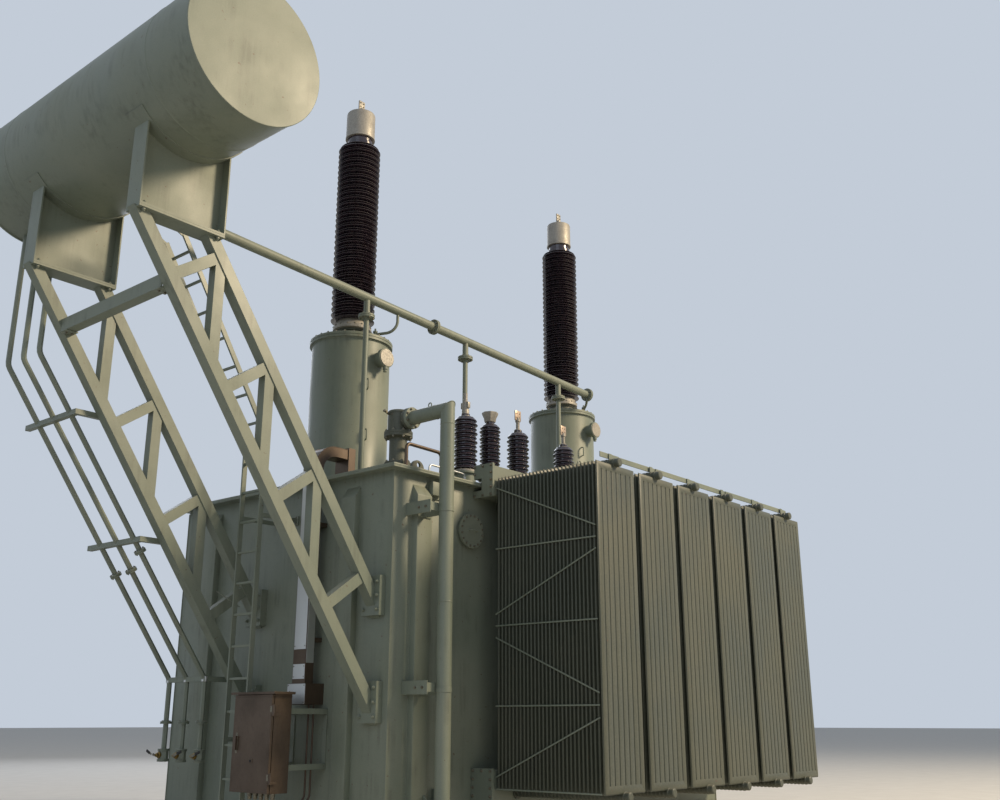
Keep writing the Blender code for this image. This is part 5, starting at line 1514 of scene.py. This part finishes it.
class TRANSFORMER_OT_stage(bpy.types.Operator):
    """Floor, soft lights and the camera"""
    bl_idname = "transformer.stage"
    bl_label = "Stage"

    def execute(self, context):
        self.floor()
        self.sky(context.scene)
        # Each lamp's place, energy, size and colour
        lamps = {"key": ((12.0, -22.0, 19.0), 9300.0, 6.0, "#ffe7c2"),
                 "fill": ((-24.0, -10.0, 14.0), 620.0, 14.0, "#d9e6fb"),
                 "back": ((10.0, 22.0, 16.0), 1500.0, 14.0, "#eef2fb")}
        for name, (place, energy, size, colour) in lamps.items():
            choose_nothing()
            aim = Vector((0, 0, 3.5)) - Vector(place)
            bpy.ops.object.light_add(type="AREA", location=place,
                                     rotation=aim.to_track_quat("-Z", "Y").to_euler())
            lamp = bpy.context.object
            lamp.name = name
            lamp.data.energy = energy
            lamp.data.size = size
            lamp.data.color = srgb(colour)[:3]
        self.camera(context.scene)
        return {"FINISHED"}

    def floor(self):
        """A pale floor, out to the horizon."""
        choose_nothing()
        bpy.ops.mesh.primitive_plane_add(size=400.0, location=(0, 0, 0))
        floor = newest("floor")
        tree, shader, place = start_material("pale_floor")
        tree.links.new(mixed(tree, speckle(tree, place, 400, 0.3, 0.7), "#c9c9c6", "#d0d0cd"),
                       shader.inputs["Base Color"])
        shader.inputs["Roughness"].default_value = 0.9
        floor.data.materials.append(bpy.data.materials["pale_floor"])

    def sky(self, scene):
        """A soft light all round, and a paler sky for what the camera and reflections see."""
        world = bpy.data.worlds.new("studio")
        scene.world = world
        world.use_nodes = True
        tree = world.node_tree
        tree.nodes.clear()
        rays = add_node(tree, "ShaderNodeLightPath")
        seen = rays.outputs["Is Camera Ray"]
        for kind in ("Is Glossy Ray", "Is Transmission Ray"):
            seen = add_node(tree, "ShaderNodeMath", {0: seen, 1: rays.outputs[kind]},
                            operation="MAXIMUM").outputs[0]
        soft = add_node(tree, "ShaderNodeBackground", {"Color": srgb("#dfe5ee"),
                                                       "Strength": 0.42})
        pale = add_node(tree, "ShaderNodeBackground", {"Color": srgb("#c3ccd8"),
                                                       "Strength": 1.0})
        both = add_node(tree, "ShaderNodeMixShader", {0: seen, 1: soft.outputs[0],
                                                      2: pale.outputs[0]})
        add_node(tree, "ShaderNodeOutputWorld", {"Surface": both.outputs[0]})

    def camera(self, scene):
        """The camera where the photo was taken from."""
        tilt_up = 16.85
        turn_right = 49.67
        choose_nothing()
        bpy.ops.object.camera_add(location=(-9.60, -8.69, 1.265),
                                  rotation=(math.radians(90 + tilt_up), 0,
                                            -math.radians(turn_right)))
        camera = bpy.context.object
        camera.data.sensor_width = 36.0
        camera.data.lens = 38.16
        camera.data.clip_end = 500.0
        scene.camera = camera
        scene.view_settings.view_transform = "Standard"


class TRANSFORMER_PT_panel(bpy.types.Panel):
    """Lists the steps of the dressing"""
    bl_idname = "TRANSFORMER_PT_panel"
    bl_label = "Transformer"
    bl_space_type = "VIEW_3D"
    bl_region_type = "UI"
    bl_category = "Transformer"

    def draw(self, context):
        for step in STEPS:
            self.layout.operator(step.bl_idname)
        for group in (context.scene.dressing_sizes, context.scene.dressing_colours):
            for name in group.__annotations__:
                self.layout.prop(group, name)


STEPS = (
    TRANSFORMER_OT_stage,
    TRANSFORMER_OT_finishes,
    TRANSFORMER_OT_radiators,
    TRANSFORMER_OT_tank,
    TRANSFORMER_OT_ducts,
    TRANSFORMER_OT_hv_bushings,
    TRANSFORMER_OT_lv_bushings,
    TRANSFORMER_OT_relief,
    TRANSFORMER_OT_gas_pipe,
    TRANSFORMER_OT_conservator,
    TRANSFORMER_OT_brackets,
    TRANSFORMER_OT_valve_pipes,
    TRANSFORMER_OT_ladder,
    TRANSFORMER_OT_cabinet,
    TRANSFORMER_OT_trunk,
)
CLASSES = (DressingSizes, DressingColours, TRANSFORMER_PT_panel) + STEPS


def register():
    """Register the classes, and put their settings on the scene."""
    for entry in CLASSES:
        bpy.utils.register_class(entry)
    bpy.types.Scene.dressing_sizes = bpy.props.PointerProperty(type=DressingSizes)
    bpy.types.Scene.dressing_colours = bpy.props.PointerProperty(type=DressingColours)


def unregister():
    """Take the settings and the classes away again."""
    del bpy.types.Scene.dressing_colours
    del bpy.types.Scene.dressing_sizes
    for entry in reversed(CLASSES):
        bpy.utils.unregister_class(entry)


def main():
    """Run every step in order."""
    register()
    for step in STEPS:
        group, name = step.bl_idname.split(".")
        getattr(getattr(bpy.ops, group), name)()


if __name__ == "__main__":
    main()
